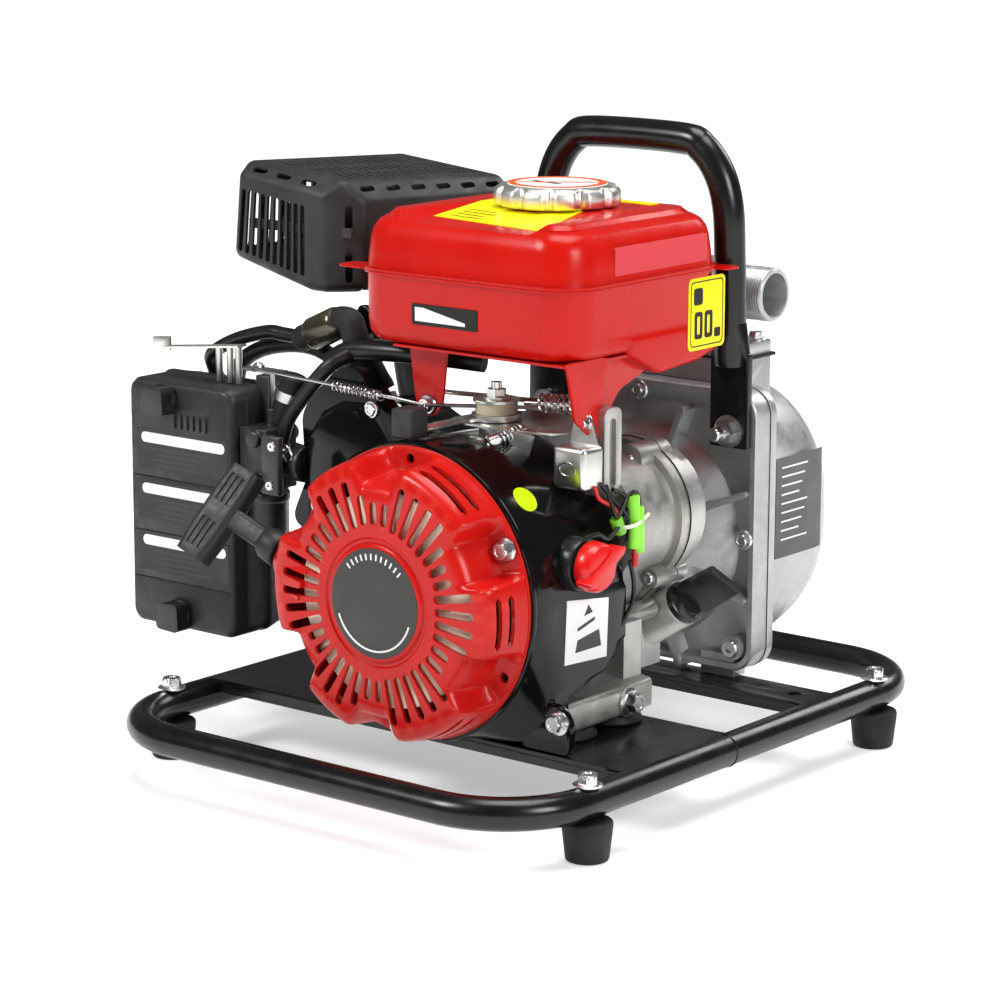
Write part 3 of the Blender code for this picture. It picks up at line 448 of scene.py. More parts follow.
def solid(name, shape):
    bmesh.ops.remove_doubles(shape, verts=shape.verts, dist=0.0005)
    bmesh.ops.recalc_face_normals(shape, faces=shape.faces)
    shape.transform(TO_ROW)
    mesh = bpy.data.meshes.new(name)
    shape.to_mesh(mesh)
    shape.free()
    made = bpy.data.objects.new(name, mesh)
    bpy.context.scene.collection.objects.link(made)
    return made


def worked(name, shape, joins, cuts, meets, bevel, segments, bevel_angle):
    """The shape's mesh after its Booleans and its softened edges."""
    made = solid(name, shape)
    tools = []
    for group, operation in ((meets, "INTERSECT"), (joins, "UNION"), (cuts, "DIFFERENCE")):
        for part in group:
            tool = solid(name + "_tool", part)
            step = made.modifiers.new("step", "BOOLEAN")
            step.operation = operation
            step.solver = "EXACT"
            step.object = tool
            tools.append(tool)
    if meets:
        step = made.modifiers.new("flat", "DECIMATE")
        step.decimate_type = "DISSOLVE"
        step.angle_limit = math.radians(1.0)
    if bevel:
        step = made.modifiers.new("soft", "BEVEL")
        step.width = bevel * MM
        step.segments = segments
        step.limit_method = "ANGLE"
        step.angle_limit = math.radians(bevel_angle)
        step.use_clamp_overlap = True
    bpy.context.view_layer.update()
    graph = bpy.context.evaluated_depsgraph_get()
    mesh = bpy.data.meshes.new_from_object(made.evaluated_get(graph))
    for spare in (made, *tools):
        bpy.data.objects.remove(spare, do_unlink=True)
    return mesh


SOFT_SEGMENTS = 4


def softened(shape, meets=(), bevel=0.0, bevel_angle=20):
    """A shape in millimetres after Booleans and softening, to be worked on further."""
    mesh = worked("blank", shape, (), (), meets, bevel, SOFT_SEGMENTS, bevel_angle)
    bm = bmesh.new()
    bm.from_mesh(mesh)
    bm.transform(TO_ROW.inverted())
    bpy.data.meshes.remove(mesh)
    return bm


def piece(name, shape, look, body=MAIN, slot=None, stands_for=(), joins=(), cuts=(), bevel=0.0,
          segments=3, bevel_angle=40, sharp=32):
    """One finished piece, after its joins, cuts and softened edges."""
    mesh = worked(name, shape, joins, cuts, (), bevel, segments, bevel_angle)
    mesh.name = name
    made = bpy.data.objects.new(name, mesh)
    bpy.context.scene.collection.objects.link(made)
    mesh.shade_smooth()
    mesh.set_sharp_from_angle(angle=math.radians(sharp))
    mesh.materials.clear()
    mesh.materials.append(FINISH[look])
    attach(made, body)
    slot = slot or SLOT_OF.get(look)
    if stands_for:
        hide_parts(*stands_for)
    return made


# ---------------------------------------------------------------- base frame and feet

TUBE_R = 9.5
FRAME_X, FRAME_Y, FRAME_Z = 157.3, 202.5, 32.5
DECK_Z = FRAME_Z + TUBE_R
CRANK = (19.0, 125.0)


def crank(y):
    return (CRANK[0], y, CRANK[1])


def build_frame():
    path = [(x, y, FRAME_Z) for x, y in
            rounded(-FRAME_X, -FRAME_Y, FRAME_X, FRAME_Y, 57.0, 16)]
    plates = []
    for near, far in ((-111.0, -12.0), (68.5, 99.0)):
        outline = [(near, DECK_Z), (near, DECK_Z - 8), (near + 2.5, DECK_Z - 8),
                   (near + 2.5, DECK_Z - 2.5), (far - 2.5, DECK_Z - 2.5), (far - 2.5, DECK_Z - 8),
                   (far, DECK_Z - 8), (far, DECK_Z)]
        plates.append(prism(outline, "X", -FRAME_X, FRAME_X))
    holes = [cylinder(4.2, 30, 60, UP, (sx * 139.0, 84.0, 0)) for sx in (-1, 1)]
    welds = []
    for x in (-FRAME_X, FRAME_X):
        for y in (-111.0, -12.0, 68.5, 99.0):
            welds.append(sweep([(x + t * math.copysign(1, -x), y, DECK_Z - 1.2 - t * 0.02)
                                for t in (0, 3, 6, 9, 12)], 1.3, 10))
    piece("base_frame_tube", sweep(path, TUBE_R, 40, closed=True), "frame_black",
          stands_for=("base_frame",), joins=plates + [merged(*welds)],
          cuts=[merged(*holes)], bevel=0.4, segments=2, bevel_angle=60)
    for x, y in ((FRAME_X, -15.0), (-FRAME_X, 20.0)):
        seam = [(x + TUBE_R * math.cos(a), y, FRAME_Z + TUBE_R * math.sin(a))
                for a in [2 * math.pi * i / 40 for i in range(40)]]
        piece(f"butt_weld_{'right' if x > 0 else 'left'}", sweep(seam, 0.55, 8, closed=True),
              "frame_black")
    for end, sy in (("front", -1), ("rear", 1)):
        for hand, sx in (("left", -1), ("right", 1)):
            centre = (sx * FRAME_X, sy * 144.1, 0)
            piece(f"rubber_foot_{end}_{hand}",
                  turned([(9.0, 0.2), (10.6, 0.0), (11.7, 0.5), (12.3, 1.6), (14.3, 20.0),
                          (14.1, 21.8), (13.4, 22.6)], centre=centre), "rubber",
                  stands_for=(f"foot_{end}_{hand}",))
            head = hex_bolt((centre[0], centre[1], DECK_Z + 0.1), UP, 6.0, 8.4, 6.6, 8)
            piece(f"frame_bolt_{end}_{hand}", head, "bolt_zinc",
                  stands_for=(f"foot_bolt_{end}_{hand}",))
    for x, y in ((88.0, -74.0), (88.0, -31.0), (-50.0, -74.0), (-50.0, -31.0)):
        name = f"{'front' if y < -50 else 'rear'}_{'right' if x > 0 else 'left'}"
        piece(f"rubber_mount_{name}",
              turned([(15.0, 42.3), (17.6, 42.6), (18.2, 43.6), (17.8, 45.2), (15.4, 48.4)],
                     centre=(x, y, 0)), "rubber",
              stands_for=(f"engine_mount_{name}",))


# ---------------------------------------------------------------- recoil starter

VALLEYS = (27.0, 90.0, 146.0, 214.0, 266.0, 331.0)


def valley_share(angle):
    """0 on a lobe, 1 in the middle of a screw valley."""
    nearest = min(abs((angle - v + 180) % 360 - 180) for v in VALLEYS)
    t = max(0.0, min(1.0, (14.5 - nearest) / 5.5))
    return t * t * (3 - 2 * t)


LOBE = ((84.3, -126.8), (84.3, -129.2), (83.5, -131.5), (82.7, -138.0), (81.9, -146.0),
        (81.0, -152.4), (79.4, -156.6), (76.6, -158.9), (70.0, -159.6), (62.0, -159.8))
VALLEY = ((84.3, -126.8), (84.3, -128.6), (82.5, -129.4), (74.4, -129.8), (71.0, -131.2),
          (69.4, -141.0), (68.2, -151.5), (66.4, -157.0), (63.4, -159.2), (58.0, -159.8))


SHELL_POINTS = 360


def recoil_shell(inset, lift):
    """The scalloped dome; the inset moves it inwards, the lift away from the front."""
    sections = []
    bm = bmesh.new()
    for lobe, valley in zip(LOBE, VALLEY):
        loop = []
        for i in range(SHELL_POINTS):
            degrees = 360 * i / SHELL_POINTS
            share = valley_share(degrees)
            radius = lobe[0] * (1 - share) + valley[0] * share - inset
            depth = lobe[1] * (1 - share) + valley[1] * share + lift
            angle = math.radians(degrees)
            loop.append(bm.verts.new((CRANK[0] + radius * math.cos(angle), depth,
                                      CRANK[1] + radius * math.sin(angle))))
        sections.append(loop)
    flat = ((42.0, -160.0), (37.5, -159.9), (36.4, -158.9), (34.6, -158.9), (33.6, -160.4),
            (32.6, -160.8))
    for radius, depth in (flat if inset == 0 else ()):
        sections.append([bm.verts.new((CRANK[0] + radius * math.cos(2 * math.pi * i / SHELL_POINTS), depth,
                                       CRANK[1] + radius * math.sin(2 * math.pi * i / SHELL_POINTS)))
                         for i in range(SHELL_POINTS)])
    for low, high in zip(sections, sections[1:]):
        bridge(bm, low, high)
    bm.faces.new(sections[0])
    bm.faces.new(sections[-1])
    return bm


def polar_slot(angle, inner, outer, width, start, end):
    middle = (inner + outer) / 2
    cx = CRANK[0] + middle * math.cos(math.radians(angle))
    cz = CRANK[1] + middle * math.sin(math.radians(angle))
    return prism(pill(cx, cz, outer - inner, width, angle), "Y", start, end)


def side_slot(middle, half, inner, outer, y, width):
    """A slot round part of the side wall."""
    steps = 12
    bm = bmesh.new()
    loops = []
    for i in range(steps + 1):
        share = -1 + 2 * i / steps
        angle = math.radians(middle + half * share)
        thin = width / 2 * math.sqrt(max(0.05, 1 - max(0.0, abs(share) - 0.8) ** 2 * 24))
        loop = []
        for radius, dy in ((inner, -thin), (outer, -thin), (outer, thin), (inner, thin)):
            loop.append(bm.verts.new((CRANK[0] + radius * math.cos(angle), y + dy,
                                      CRANK[1] + radius * math.sin(angle))))
        loops.append(loop)
    for low, high in zip(loops, loops[1:]):
        bridge(bm, low, high)
    bm.faces.new(loops[0])
    bm.faces.new(loops[-1])
    return bm


def build_recoil():
    slots = []
    for i in range(40):
        angle = 9.0 * i + 2.0
        share = valley_share(angle)
        slots.append(polar_slot(angle, 43.0 + 1.5 * share, 70.5 - 12.5 * share, 4.9, -170, -152))
    sides = []
    for near, far in zip(VALLEYS, VALLEYS[1:] + (VALLEYS[0] + 360,)):
        middle = (near + far) / 2
        half = (far - near) / 2 - 17.5
        if abs(middle - 180) < 10:
            continue
        sides.append(side_slot(middle, half, 70, 95, -150.2, 4.4))
        sides.append(side_slot(middle, half, 70, 95, -140.4, 4.4))
    holes = []
    for angle in VALLEYS:
        x = CRANK[0] + 78.0 * math.cos(math.radians(angle))
        z = CRANK[1] + 78.0 * math.sin(math.radians(angle))
        holes.append(cylinder(2.9, -140, -120, REAR, (x, 0, z), 20))
    rope_axis, rope_exit = (-0.93, 0.0, 0.36), (-64.0, -143.0, 137.5)
    piece("recoil_dome", recoil_shell(0.0, 0.0), "red_cover",
          stands_for=("recoil_cover",),
          joins=[turned([(20, -30), (16, -8), (10.5, 0)], rope_axis, rope_exit, 40)],
          cuts=[recoil_shell(2.2, 2.6), merged(*slots), merged(*sides), merged(*holes),
                cylinder(4.2, -60, 5, rope_axis, rope_exit, 20)],
          sharp=40)
    piece("recoil_flange", lathe([(84.8, -126.7), (84.8, -128.4), (80.5, -128.4), (80.5, -126.7)],
                                 centre=crank(0), sides=120), "red_cover")
    piece("recoil_disc", turned([(31.6, -160.7), (31.6, -161.2), (31.0, -161.4)], REAR,
                                crank(0), 96), "print_grey", slot="black_plastic")
    arc_path = [(CRANK[0] + 27.5 * math.cos(math.radians(a)), -161.5,
                 CRANK[1] + 27.5 * math.sin(math.radians(a))) for a in range(-160, -19, 5)]
    piece("recoil_disc_line", sweep(arc_path, 0.55, 8), "white")
    bars = [polar_slot(angle, 24.8, 28.6, 1.0, -161.6, -161.3) for angle in range(46, 135, 8)]
    piece("recoil_disc_ticks", merged(*bars), "white")
    for number, angle in enumerate(VALLEYS):
        x = CRANK[0] + 78.0 * math.cos(math.radians(angle))
        z = CRANK[1] + 78.0 * math.sin(math.radians(angle))
        if number in (0, 2, 4):
            piece(f"recoil_bolt_{number}", hex_bolt((x, -130.4, z), FRONT, 5.4, 7.2, 6.0, 3),
                  "bolt_zinc")
    piece("rope_bush", lathe([(4.4, -6), (8.2, -6), (8.2, 0.5), (6.0, 2.0), (4.4, 2.0)], rope_axis,
                             rope_exit, 32), "smooth_plastic")


def build_reel():
    back = -139.0
    disc = [(9.3, back), (31, back), (31, back - 4), (24, back - 5), (24, back - 9), (62, back - 9),
            (62.6, back - 10), (62, back - 11.5), (38, back - 11.5), (34, back - 16),
            (9.3, back - 16)]
    ribs = [polar_slot(18 * i, 37, 61.5, 1.8, back - 12.6, back - 11) for i in range(20)]
    # The reel's look is its cream painted much lighter: painted light for the light through the cover's
    # slots.
    piece("starter_reel", lathe(disc, centre=crank(0), sides=96), "painted_light_reel", body="pulley",
          stands_for=("starter_pulley",), joins=[merged(*ribs)])


def build_grip():
    axis = Vector((-0.93, 0.0, 0.36)).normalized()
    bar = Vector((0.30, 0.50, 0.81)).normalized()
    start = Vector((-64.0, -143.0, 137.5)) + axis * 3.0
    across = axis.cross(bar).normalized()
    bar = across.cross(axis).normalized()

    def turned_box(centre, along, wide, deep, half, half_wide, half_deep, taper=1.0):
        bm = bmesh.new()
        loops = []
        for t, share in ((-half, taper), (-half * 0.5, 1.0), (half * 0.5, 1.0), (half, taper)):
            loop = []
            for a, b in rounded(-half_wide * share, -half_deep, half_wide * share, half_deep,
                                min(half_wide * share, half_deep) * 0.55, 4):
                loop.append(bm.verts.new(Vector(centre) + along * t + wide * a + deep * b))
            loops.append(loop)
        for low, high in zip(loops, loops[1:]):
            bridge(bm, low, high)
        bm.faces.new(loops[0])
        bm.faces.new(loops[-1])
        return bm

    middle = start + axis * 50
    stem = turned_box(start + axis * 30, axis, bar, across, 22, 6.5, 5.2)
    collar = turned([(9.6, 0.5), (10.4, 2.0), (10.0, 11.0), (8.2, 14.5)], axis, start, 40)
    grooves = []
    for way in (-1, 1):
        for offset in (-4.2, 0.0, 4.2):
            for t, half in ((-17, 9), (13, 9)):
                centre = middle + bar * t + axis * offset + across * way * 7.6
                grooves.append(turned_box(centre, bar, axis, across, half, 1.1, 1.2))
    piece("pull_grip", turned_box(middle - bar * 2, bar, axis, across, 30, 11.6, 7.4, 0.9), "plastic",
          body="grip_and_rope", stands_for=("starter_grip",),
          joins=[stem, collar], cuts=[merged(*grooves)], bevel=0.9, segments=3, bevel_angle=50)


def build_fan():
    blades = []
    for i in range(20):
        angle = 18.0 * i
        blades.append(polar_slot(angle, 40, 73, 3.4, -120.5, -99.5))
    rim = lathe([(9.3, -94.6), (68, -94.6), (74, -98), (74, -103), (38, -103), (36, -119.5),
                 (9.3, -119.5)], centre=crank(0), sides=96)
    piece("cooling_fan", rim, "cream", body="crank_rotor",
          stands_for=("flywheel_fan",), joins=[merged(*blades)], sharp=30)


# ---------------------------------------------------------------- blower housing

HOUSING_POINTS = 160


def housing_outline(radius, right, low, square=0.0):
    """A circle cut off at the right and below; square draws its low right corner out."""
    points = []
    for i in range(HOUSING_POINTS):
        degrees = -180 + 360 * i / HOUSING_POINTS
        angle = math.radians(degrees)
        x = min(CRANK[0] + radius * math.cos(angle), right)
        z = max(CRANK[1] + radius * math.sin(angle), low)
        if -80 < degrees <= 0:
            if degrees > -38:
                corner = (right, CRANK[1] + (right - CRANK[0]) * math.tan(angle))
            elif degrees > -60:
                share = (-38 - degrees) / 22
                corner = (right - 16 * share, 58 + (low - 58) * share)
            else:
                share = (-60 - degrees) / 20
                corner = (right - 16 + (CRANK[0] + 15 - right + 16) * share, low)
            x += (corner[0] - x) * square
            z += (max(corner[1], low) - z) * square
        points.append((x, z))
    return points


TILT = math.radians(25.0)
ALONG = Vector((-math.cos(TILT), 0.0, math.sin(TILT)))
ACROSS = Vector((math.sin(TILT), 0.0, math.cos(TILT)))


def along_cylinder(start, end, low, high):
    corners = []
    for reach, side in ((start, low), (end, low), (end, high), (start, high)):
        point = Vector((CRANK[0], 0, CRANK[1])) + ALONG * reach + ACROSS * side
        corners.append((point.x, point.z))
    return corners


def build_housing():
    near = -126.4
    wall = 2.2
    stations = ((near, 84.2, 110, 43, 0), (-124.6, 85.6, 110, 42, 0), (-121, 86, 109, 42, 0.1),
                (-112, 86, 106, 43, 0.7), (-106, 86, 105, 43, 1), (-93.2, 85.5, 104.5, 43, 1),
                (-92.9, 85.5, 104.5, 72, 1), (-60, 84, 104.3, 80, 1), (-38, 82, 103, 96, 1))
    body = loft([(y, housing_outline(r, right, low, square))
                 for y, r, right, low, square in stations], "Y")
    hollow = loft([(y, housing_outline(r - wall, right - wall, low + wall))
                   for y, r, right, low, _ in stations[:6]]
                  + [(-33, housing_outline(80 - wall, 98 - wall, 72 + wall))], "Y")
    tower = round_corners(along_cylinder(50, 128, -41, 41), 9, 5)
    front = [(-50, 96), (-94, 122), (-103, 150), (-107, 206), (-101, 216), (-80, 236), (-72, 239),
             (-62, 238), (-44, 216), (-8, 206), (20, 200), (30, 140)]
    bulge = [(-101, 140), (-101, 196), (-90, 211), (-74, 219), (-56, 220), (-41, 202),
             (-26, 178), (-30, 140)]
    bulge_shape = loft([(-88.5, inset_outline(bulge, 7)), (-87.5, inset_outline(bulge, 5)),
                        (-80, bulge)], "Y")
    piece("blower_shell", body, "black_gloss", stands_for=("blower_housing",),
          joins=[prism(tower, "Y", -83, -3), prism(round_corners(front, 5), "Y", -81, -66),
                 bulge_shape],
          cuts=[hollow, prism(along_cylinder(5, 140, -38.5, 38.5), "Y", -64, 10),
                cylinder(76, near - 5, -100, REAR, crank(0), 96),
                box((-67, -92.4, 40), (85, 0, 101)),
                cylinder(10.5, 8, 70, (-0.45, -0.2, 0.87), (-63.0, -40.0, 195.0), 32)],
          bevel=1.8, segments=4, bevel_angle=32, sharp=40)
    rib = [(-126.3, housing_outline(86.8, 111, 41.5)), (-123.2, housing_outline(86.8, 111, 41.5))]
    piece("blower_front_rim", loft(rib, "Y"), "black_gloss",
          cuts=[loft([(-130, housing_outline(83.6, 108, 45)), (-120, housing_outline(83.6, 108, 45))],
                     "Y")], bevel=0.5, segments=2)
    piece("housing_foot_tab", prism(round_corners([(84, 42.5), (118, 42.5), (120, 60), (113, 71),
                                                   (100, 71), (90, 60)], 5), "Y", -110.5, -105),
          "black_gloss", bevel=1.2)
    piece("housing_tab_bolt", hex_bolt((111, -110.8, 61.5), FRONT, 5.2, 7.2, 6.0, 3),
          "bolt_zinc")
    piece("shroud_bolt", hex_bolt((-51, -81.3, 216), FRONT, 4.2, 5.2, 3.0, 3), "bolt_zinc")
    baffle = [(-103, 262), (-99, 268), (-95, 268), (-80, 254), (-74, 236), (-100, 236)]
    piece("head_baffle", prism(round_corners(baffle, 3), "Y", -38, -33), "black_gloss",
          bevel=1.0)
    label = prism([(-97.5, 90.5), (-58.5, 88.3), (-57.0, 122.6), (-95.5, 127.6)], "X", 104.3, 105.0)
    piece("notice_label", label, "white", bevel=0.15)
    marks = [prism([(-88, 96), (-64, 96), (-66, 106), (-86, 103)], "X", 104.9, 105.15),
             prism([(-86, 108), (-70, 112), (-70, 114), (-86, 110)], "X", 104.9, 105.15),
             prism([(-80, 116), (-72, 117), (-76, 122)], "X", 104.9, 105.15)]
    piece("notice_marks", merged(*marks), "print_grey")


def patch(name, look, radius, y0, y1, a0, a1, corner=2.5):
    """A thin label that follows the blower housing's round side."""
    centre_a, half_a = (a0 + a1) / 2, math.radians((a1 - a0) / 2) * radius
    centre_y, half_y = (y0 + y1) / 2, (y1 - y0) / 2
    outline = rounded(-half_a, -half_y, half_a, half_y, corner, 6)
    bm = bmesh.new()
    loops = []
    for lift in (0.0, 0.22):
        loop = []
        for along, across in outline:
            angle = math.radians(centre_a) + along / radius
            loop.append(bm.verts.new((CRANK[0] + (radius + lift) * math.cos(angle),
                                      centre_y + across,
                                      CRANK[1] + (radius + lift) * math.sin(angle))))
        loops.append(loop)
    bridge(bm, *loops)
    for loop in loops:
        middle = bm.verts.new(sum((v.co for v in loop), Vector()) / len(loop))
        reach = math.hypot(middle.co.x - CRANK[0], middle.co.z - CRANK[1])
        middle.co.x = CRANK[0] + (middle.co.x - CRANK[0]) * (radius + 0.2) / reach
        middle.co.z = CRANK[1] + (middle.co.z - CRANK[1]) * (radius + 0.2) / reach
        for i in range(len(loop)):
            bm.faces.new((loop[i], loop[(i + 1) % len(loop)], middle))
    return piece(name, bm, look)


# ---------------------------------------------------------------- crankcase

def case_outline(inset=0.0, cam=44.0):
    return ([(-34.0 + inset, 62.0 + inset), (77.0 - inset, 62.0 + inset), (77.0 - inset, 104.0)]
            + arc(68.0, 157.0, cam - inset, -48, 112, 40)
            + arc(CRANK[0], CRANK[1], 50.0 - inset, 105, 170, 14)
            + [(-34.0 + inset, 118.0)])


def build_crankcase():
    foot = round_corners([(-66, 48.7), (104, 48.7), (104, 66), (74, 70), (-30, 70), (-66, 66)], 3)
    lugs = ((82.0, 192.0, 9.0), (97.0, 123.5, 6.2))
    joins = [prism(foot, "Y", -92.5, -13), prism([(-34, 60), (77, 60), (70, 100), (-30, 100)],
                                                 "Y", -80, -30),
             cylinder(52, -66, -30, REAR, crank(0), 96)]
    joins += [cylinder(r, -8, 11.6, REAR, (x, 0, z)) for x, z, r in lugs]
    joins += [box((60, -30, 66), (96, -13, 100)), cylinder(6.0, -20, 11.6, REAR, (84, 0, 100)),
              cylinder(9.0, 88, 104.8, RIGHT, (0, -36.3, 56.9))]
    joins.append(prism(case_outline(), "Y", 3.5, 11.7))
    piece("crankcase_body", prism(case_outline(0.0, 39.5), "Y", -36, 6), "bare_cast",
          stands_for=("crankcase",), joins=joins,
          cuts=[prism(case_outline(4.5, 38.5), "Y", -30, 20),
                cylinder(9.3, -90, 0, REAR, crank(0)),
                box((88, -60, 70), (99, -30, 84))],
          bevel=1.4, segments=3, bevel_angle=38, sharp=40)
    piece("case_gasket", prism([(x, z) for x, z in case_outline(-0.5)], "Y", 11.8, 12.4), "gasket",
          cuts=[prism(case_outline(4.5), "Y", 0, 20)])
    rear = [cylinder(46, 20, 52, REAR, crank(0), 96),
            turned([(13.6, -42), (13.6, -1.0), (13.0, 0)], (0.848, 0, 0.53), (96.0, 26.6, 101.5))]
    rear += [cylinder(r, 12.5, 22, REAR, (x, 0, z)) for x, z, r in lugs]
    rear.append(prism(case_outline(), "Y", 12.5, 20))
    piece("crankcase_side_cover", prism(case_outline(0.0, 40.5), "Y", 14, 32), "bare_cast",
          stands_for=("crankcase_cover",), joins=rear,
          cuts=[prism(case_outline(4.5, 38.5), "Y", 5, 27), cylinder(9.3, 0, 70, REAR, crank(0)),
                cylinder(9.8, -34, 5, (0.848, 0.0, 0.53), (96.0, 26.6, 101.5))],
          bevel=1.6, segments=3, bevel_angle=38, sharp=40)
    for i, (x, z, r) in enumerate(lugs):
        piece(f"lug_screw_{i}", turned([(3.6, -1.5), (3.6, 1.2), (3.0, 2.0), (1.6, 2.0), (1.4, 1.0)],
                                       FRONT, (x, -8, z), 24), "bolt_zinc")
    piece("oil_drain_bolt", hex_bolt((104.6, -36.3, 56.9), RIGHT, 6.0, 8.4, 8.0, 3),
          "bolt_zinc")
    piece("slotted_ear", prism(rounded(-52, 177, -36, 229, 5), "X", 88, 97), "bare_cast",
          joins=[box((60, -50, 178), (90, -38, 192))],
          cuts=[prism(rounded(-47, 183, -41, 223, 2.6), "X", 94, 110)], bevel=0.9)
    paddle_axis = Vector((0.848, 0.0, 0.53)).normalized()
    side = Vector((0.3975, 0.66, -0.636)).normalized()
    thick = paddle_axis.cross(side).normalized()
    neck = Vector((96.0, 26.6, 101.5))
    bm = bmesh.new()
    loops = []
    for reach, wide, deep in ((4.0, 9.5, 3.0), (7.0, 11.3, 3.4), (10.0, 12.4, 3.4),
                              (36.0, 12.4, 2.6), (37.5, 11.8, 2.0)):
        loops.append([bm.verts.new(neck + paddle_axis * reach + side * a + thick * b)
                      for a, b in rounded(-wide, -deep, wide, deep, 1.6, 4)])
    for low, high in zip(loops, loops[1:]):
        bridge(bm, low, high)
    bm.faces.new(loops[0])
    bm.faces.new(loops[-1])
    piece("oil_filler_paddle", turned([(9.2, -14), (9.2, 0.2), (12.6, 0.4), (12.8, 3.6),
                                       (10.6, 5.0), (9.6, 8.0)], paddle_axis, neck),
          "smooth_plastic", body="oil_filler_cap", stands_for=("oil_cap",),
          joins=[bm], sharp=40)
    piece("oil_neck_gasket", lathe([(9.6, -0.9), (12.6, -0.9), (12.6, 0.1), (9.6, 0.1)],
                                   paddle_axis, neck), "gasket")


# ---------------------------------------------------------------- air cleaner and carburettor

def build_air_cleaner():
    x0, x1, z0, z1 = -234.0, -147.0, 64.0, 218.0
    face = [(-72.3, rounded(x0, z0, x1, z1, 8)), (-95.5, rounded(x0, z0, x1, z1, 8)),
            (-98.5, rounded(x0 + 1.0, z0 + 1.0, x1 - 1.0, z1 - 1.0, 8)),
            (-99.8, rounded(x0 + 3.0, z0 + 3.0, x1 - 3.0, z1 - 3.0, 7))]
    grooves = [box((x0 - 5, -110, z), (x1 + 5, -99.1, z + 0.8)) for z in (93.0, 122.5, 157.0)]
    dents = [prism(rounded(x0 - 6, low, x0 + 1.2, high, 2), "Y", -120, -60)
             for low, high in ((96.0, 119.0), (126.0, 153.0), (161.0, 196.0))]
    ribs = [box((-196 + 5.2 * i, -101.2, 190), (-193.6 + 5.2 * i, -99.0, 199)) for i in range(6)]
    rims = [box((x1 - 2, -88, 70), (x1 + 1.0, -86, 212))]
    piece("air_cleaner_lid", loft(face, "Y"), "plastic", body="filter_cover",
          stands_for=("air_cleaner_cover",), joins=[merged(*ribs)] + rims,
          cuts=[prism(rounded(x0 + 4, z0 + 4, x1 - 4, z1 - 4, 6), "Y", -94, -60), merged(*grooves),
                merged(*dents)], bevel=0.7, segments=3, bevel_angle=45, sharp=40)
    back = [(-71.8, rounded(x0, z0, x1, z1, 8)), (-69.5, rounded(x0 - 0, z0, x1 + 1.2, z1 + 1.2, 8)),
            (-67.0, rounded(x0, z0, x1 + 1.2, z1 + 1.2, 8)), (-64.0, rounded(x0, z0, x1, z1, 8)),
            (-46.0, rounded(x0 + 3, z0 + 3, x1 - 3, z1 - 3, 8))]
    piece("air_cleaner_back", loft(back, "Y"), "plastic",
          stands_for=("air_cleaner_base",),
          cuts=[prism(rounded(x0 + 4, z0 + 4, x1 - 4, z1 - 4, 6), "Y", -90, -52)], bevel=0.6,
          segments=2, bevel_angle=45)
    for i, z in enumerate((183.5, 151.5, 119.0)):
        piece(f"lid_panel_{i}", prism(rounded(-227, z - 21, -151, z + 3.6, 1.5), "Y", -99.95,
                                      -99.6), "panel_grey", body="filter_cover")
        piece(f"lid_label_{i}", prism(rounded(-223, z - 5.0, -153, z + 1.4, 3.1), "Y", -100.1,
                                      -99.7), "white", body="filter_cover")
        lines = [box((-214 + 4 * (k % 2), -100.0, z - 9.0 - 3.4 * k),
                     (-167 - 5 * ((k * 7) % 3), -99.75, z - 8.1 - 3.4 * k)) for k in range(4)]
        piece(f"lid_lines_{i}", merged(*lines), "print_grey", body="filter_cover")
    for name, x, z, body in (("upper", -202.0, 207.5, "upper_wing_nut"),
                             ("lower", -192.0, 74.0, "lower_wing_nut")):
        wing = prism(round_corners([(x - 9.5, z - 8), (x + 9.5, z - 9), (x + 8.5, z + 9),
                                    (x - 8, z + 8)], 4), "Y", -112.5, -101)
        piece(f"wing_nut_{name}", turned([(9.5, -100.2), (9.5, -103.0), (7.0, -105.0)], REAR,
                                         (x, 0, z)), "smooth_plastic", body=body,
              stands_for=(f"wing_knob_{name}",), joins=[wing], bevel=1.6,
              segments=4, bevel_angle=45)
    lever = [(-219, 234.6), (-157, 241.4), (-157, 242.8), (-219, 236.0)]
    posts = [cylinder(2.2, 218.6, top, UP, (x, -79, 0))
             for x, top in ((-176, 240), (-167, 241), (-160, 242))]
    piece("choke_arm", prism(lever, "Y", -83, -75), "zinc", body="choke",
          stands_for=("choke_lever",),
          joins=[prism([(-232, 231.8), (-217, 233.2), (-217, 241.9), (-231.6, 240.4)], "Y", -80,
                       -78.6), *posts],
          bevel=0.3, segments=2)


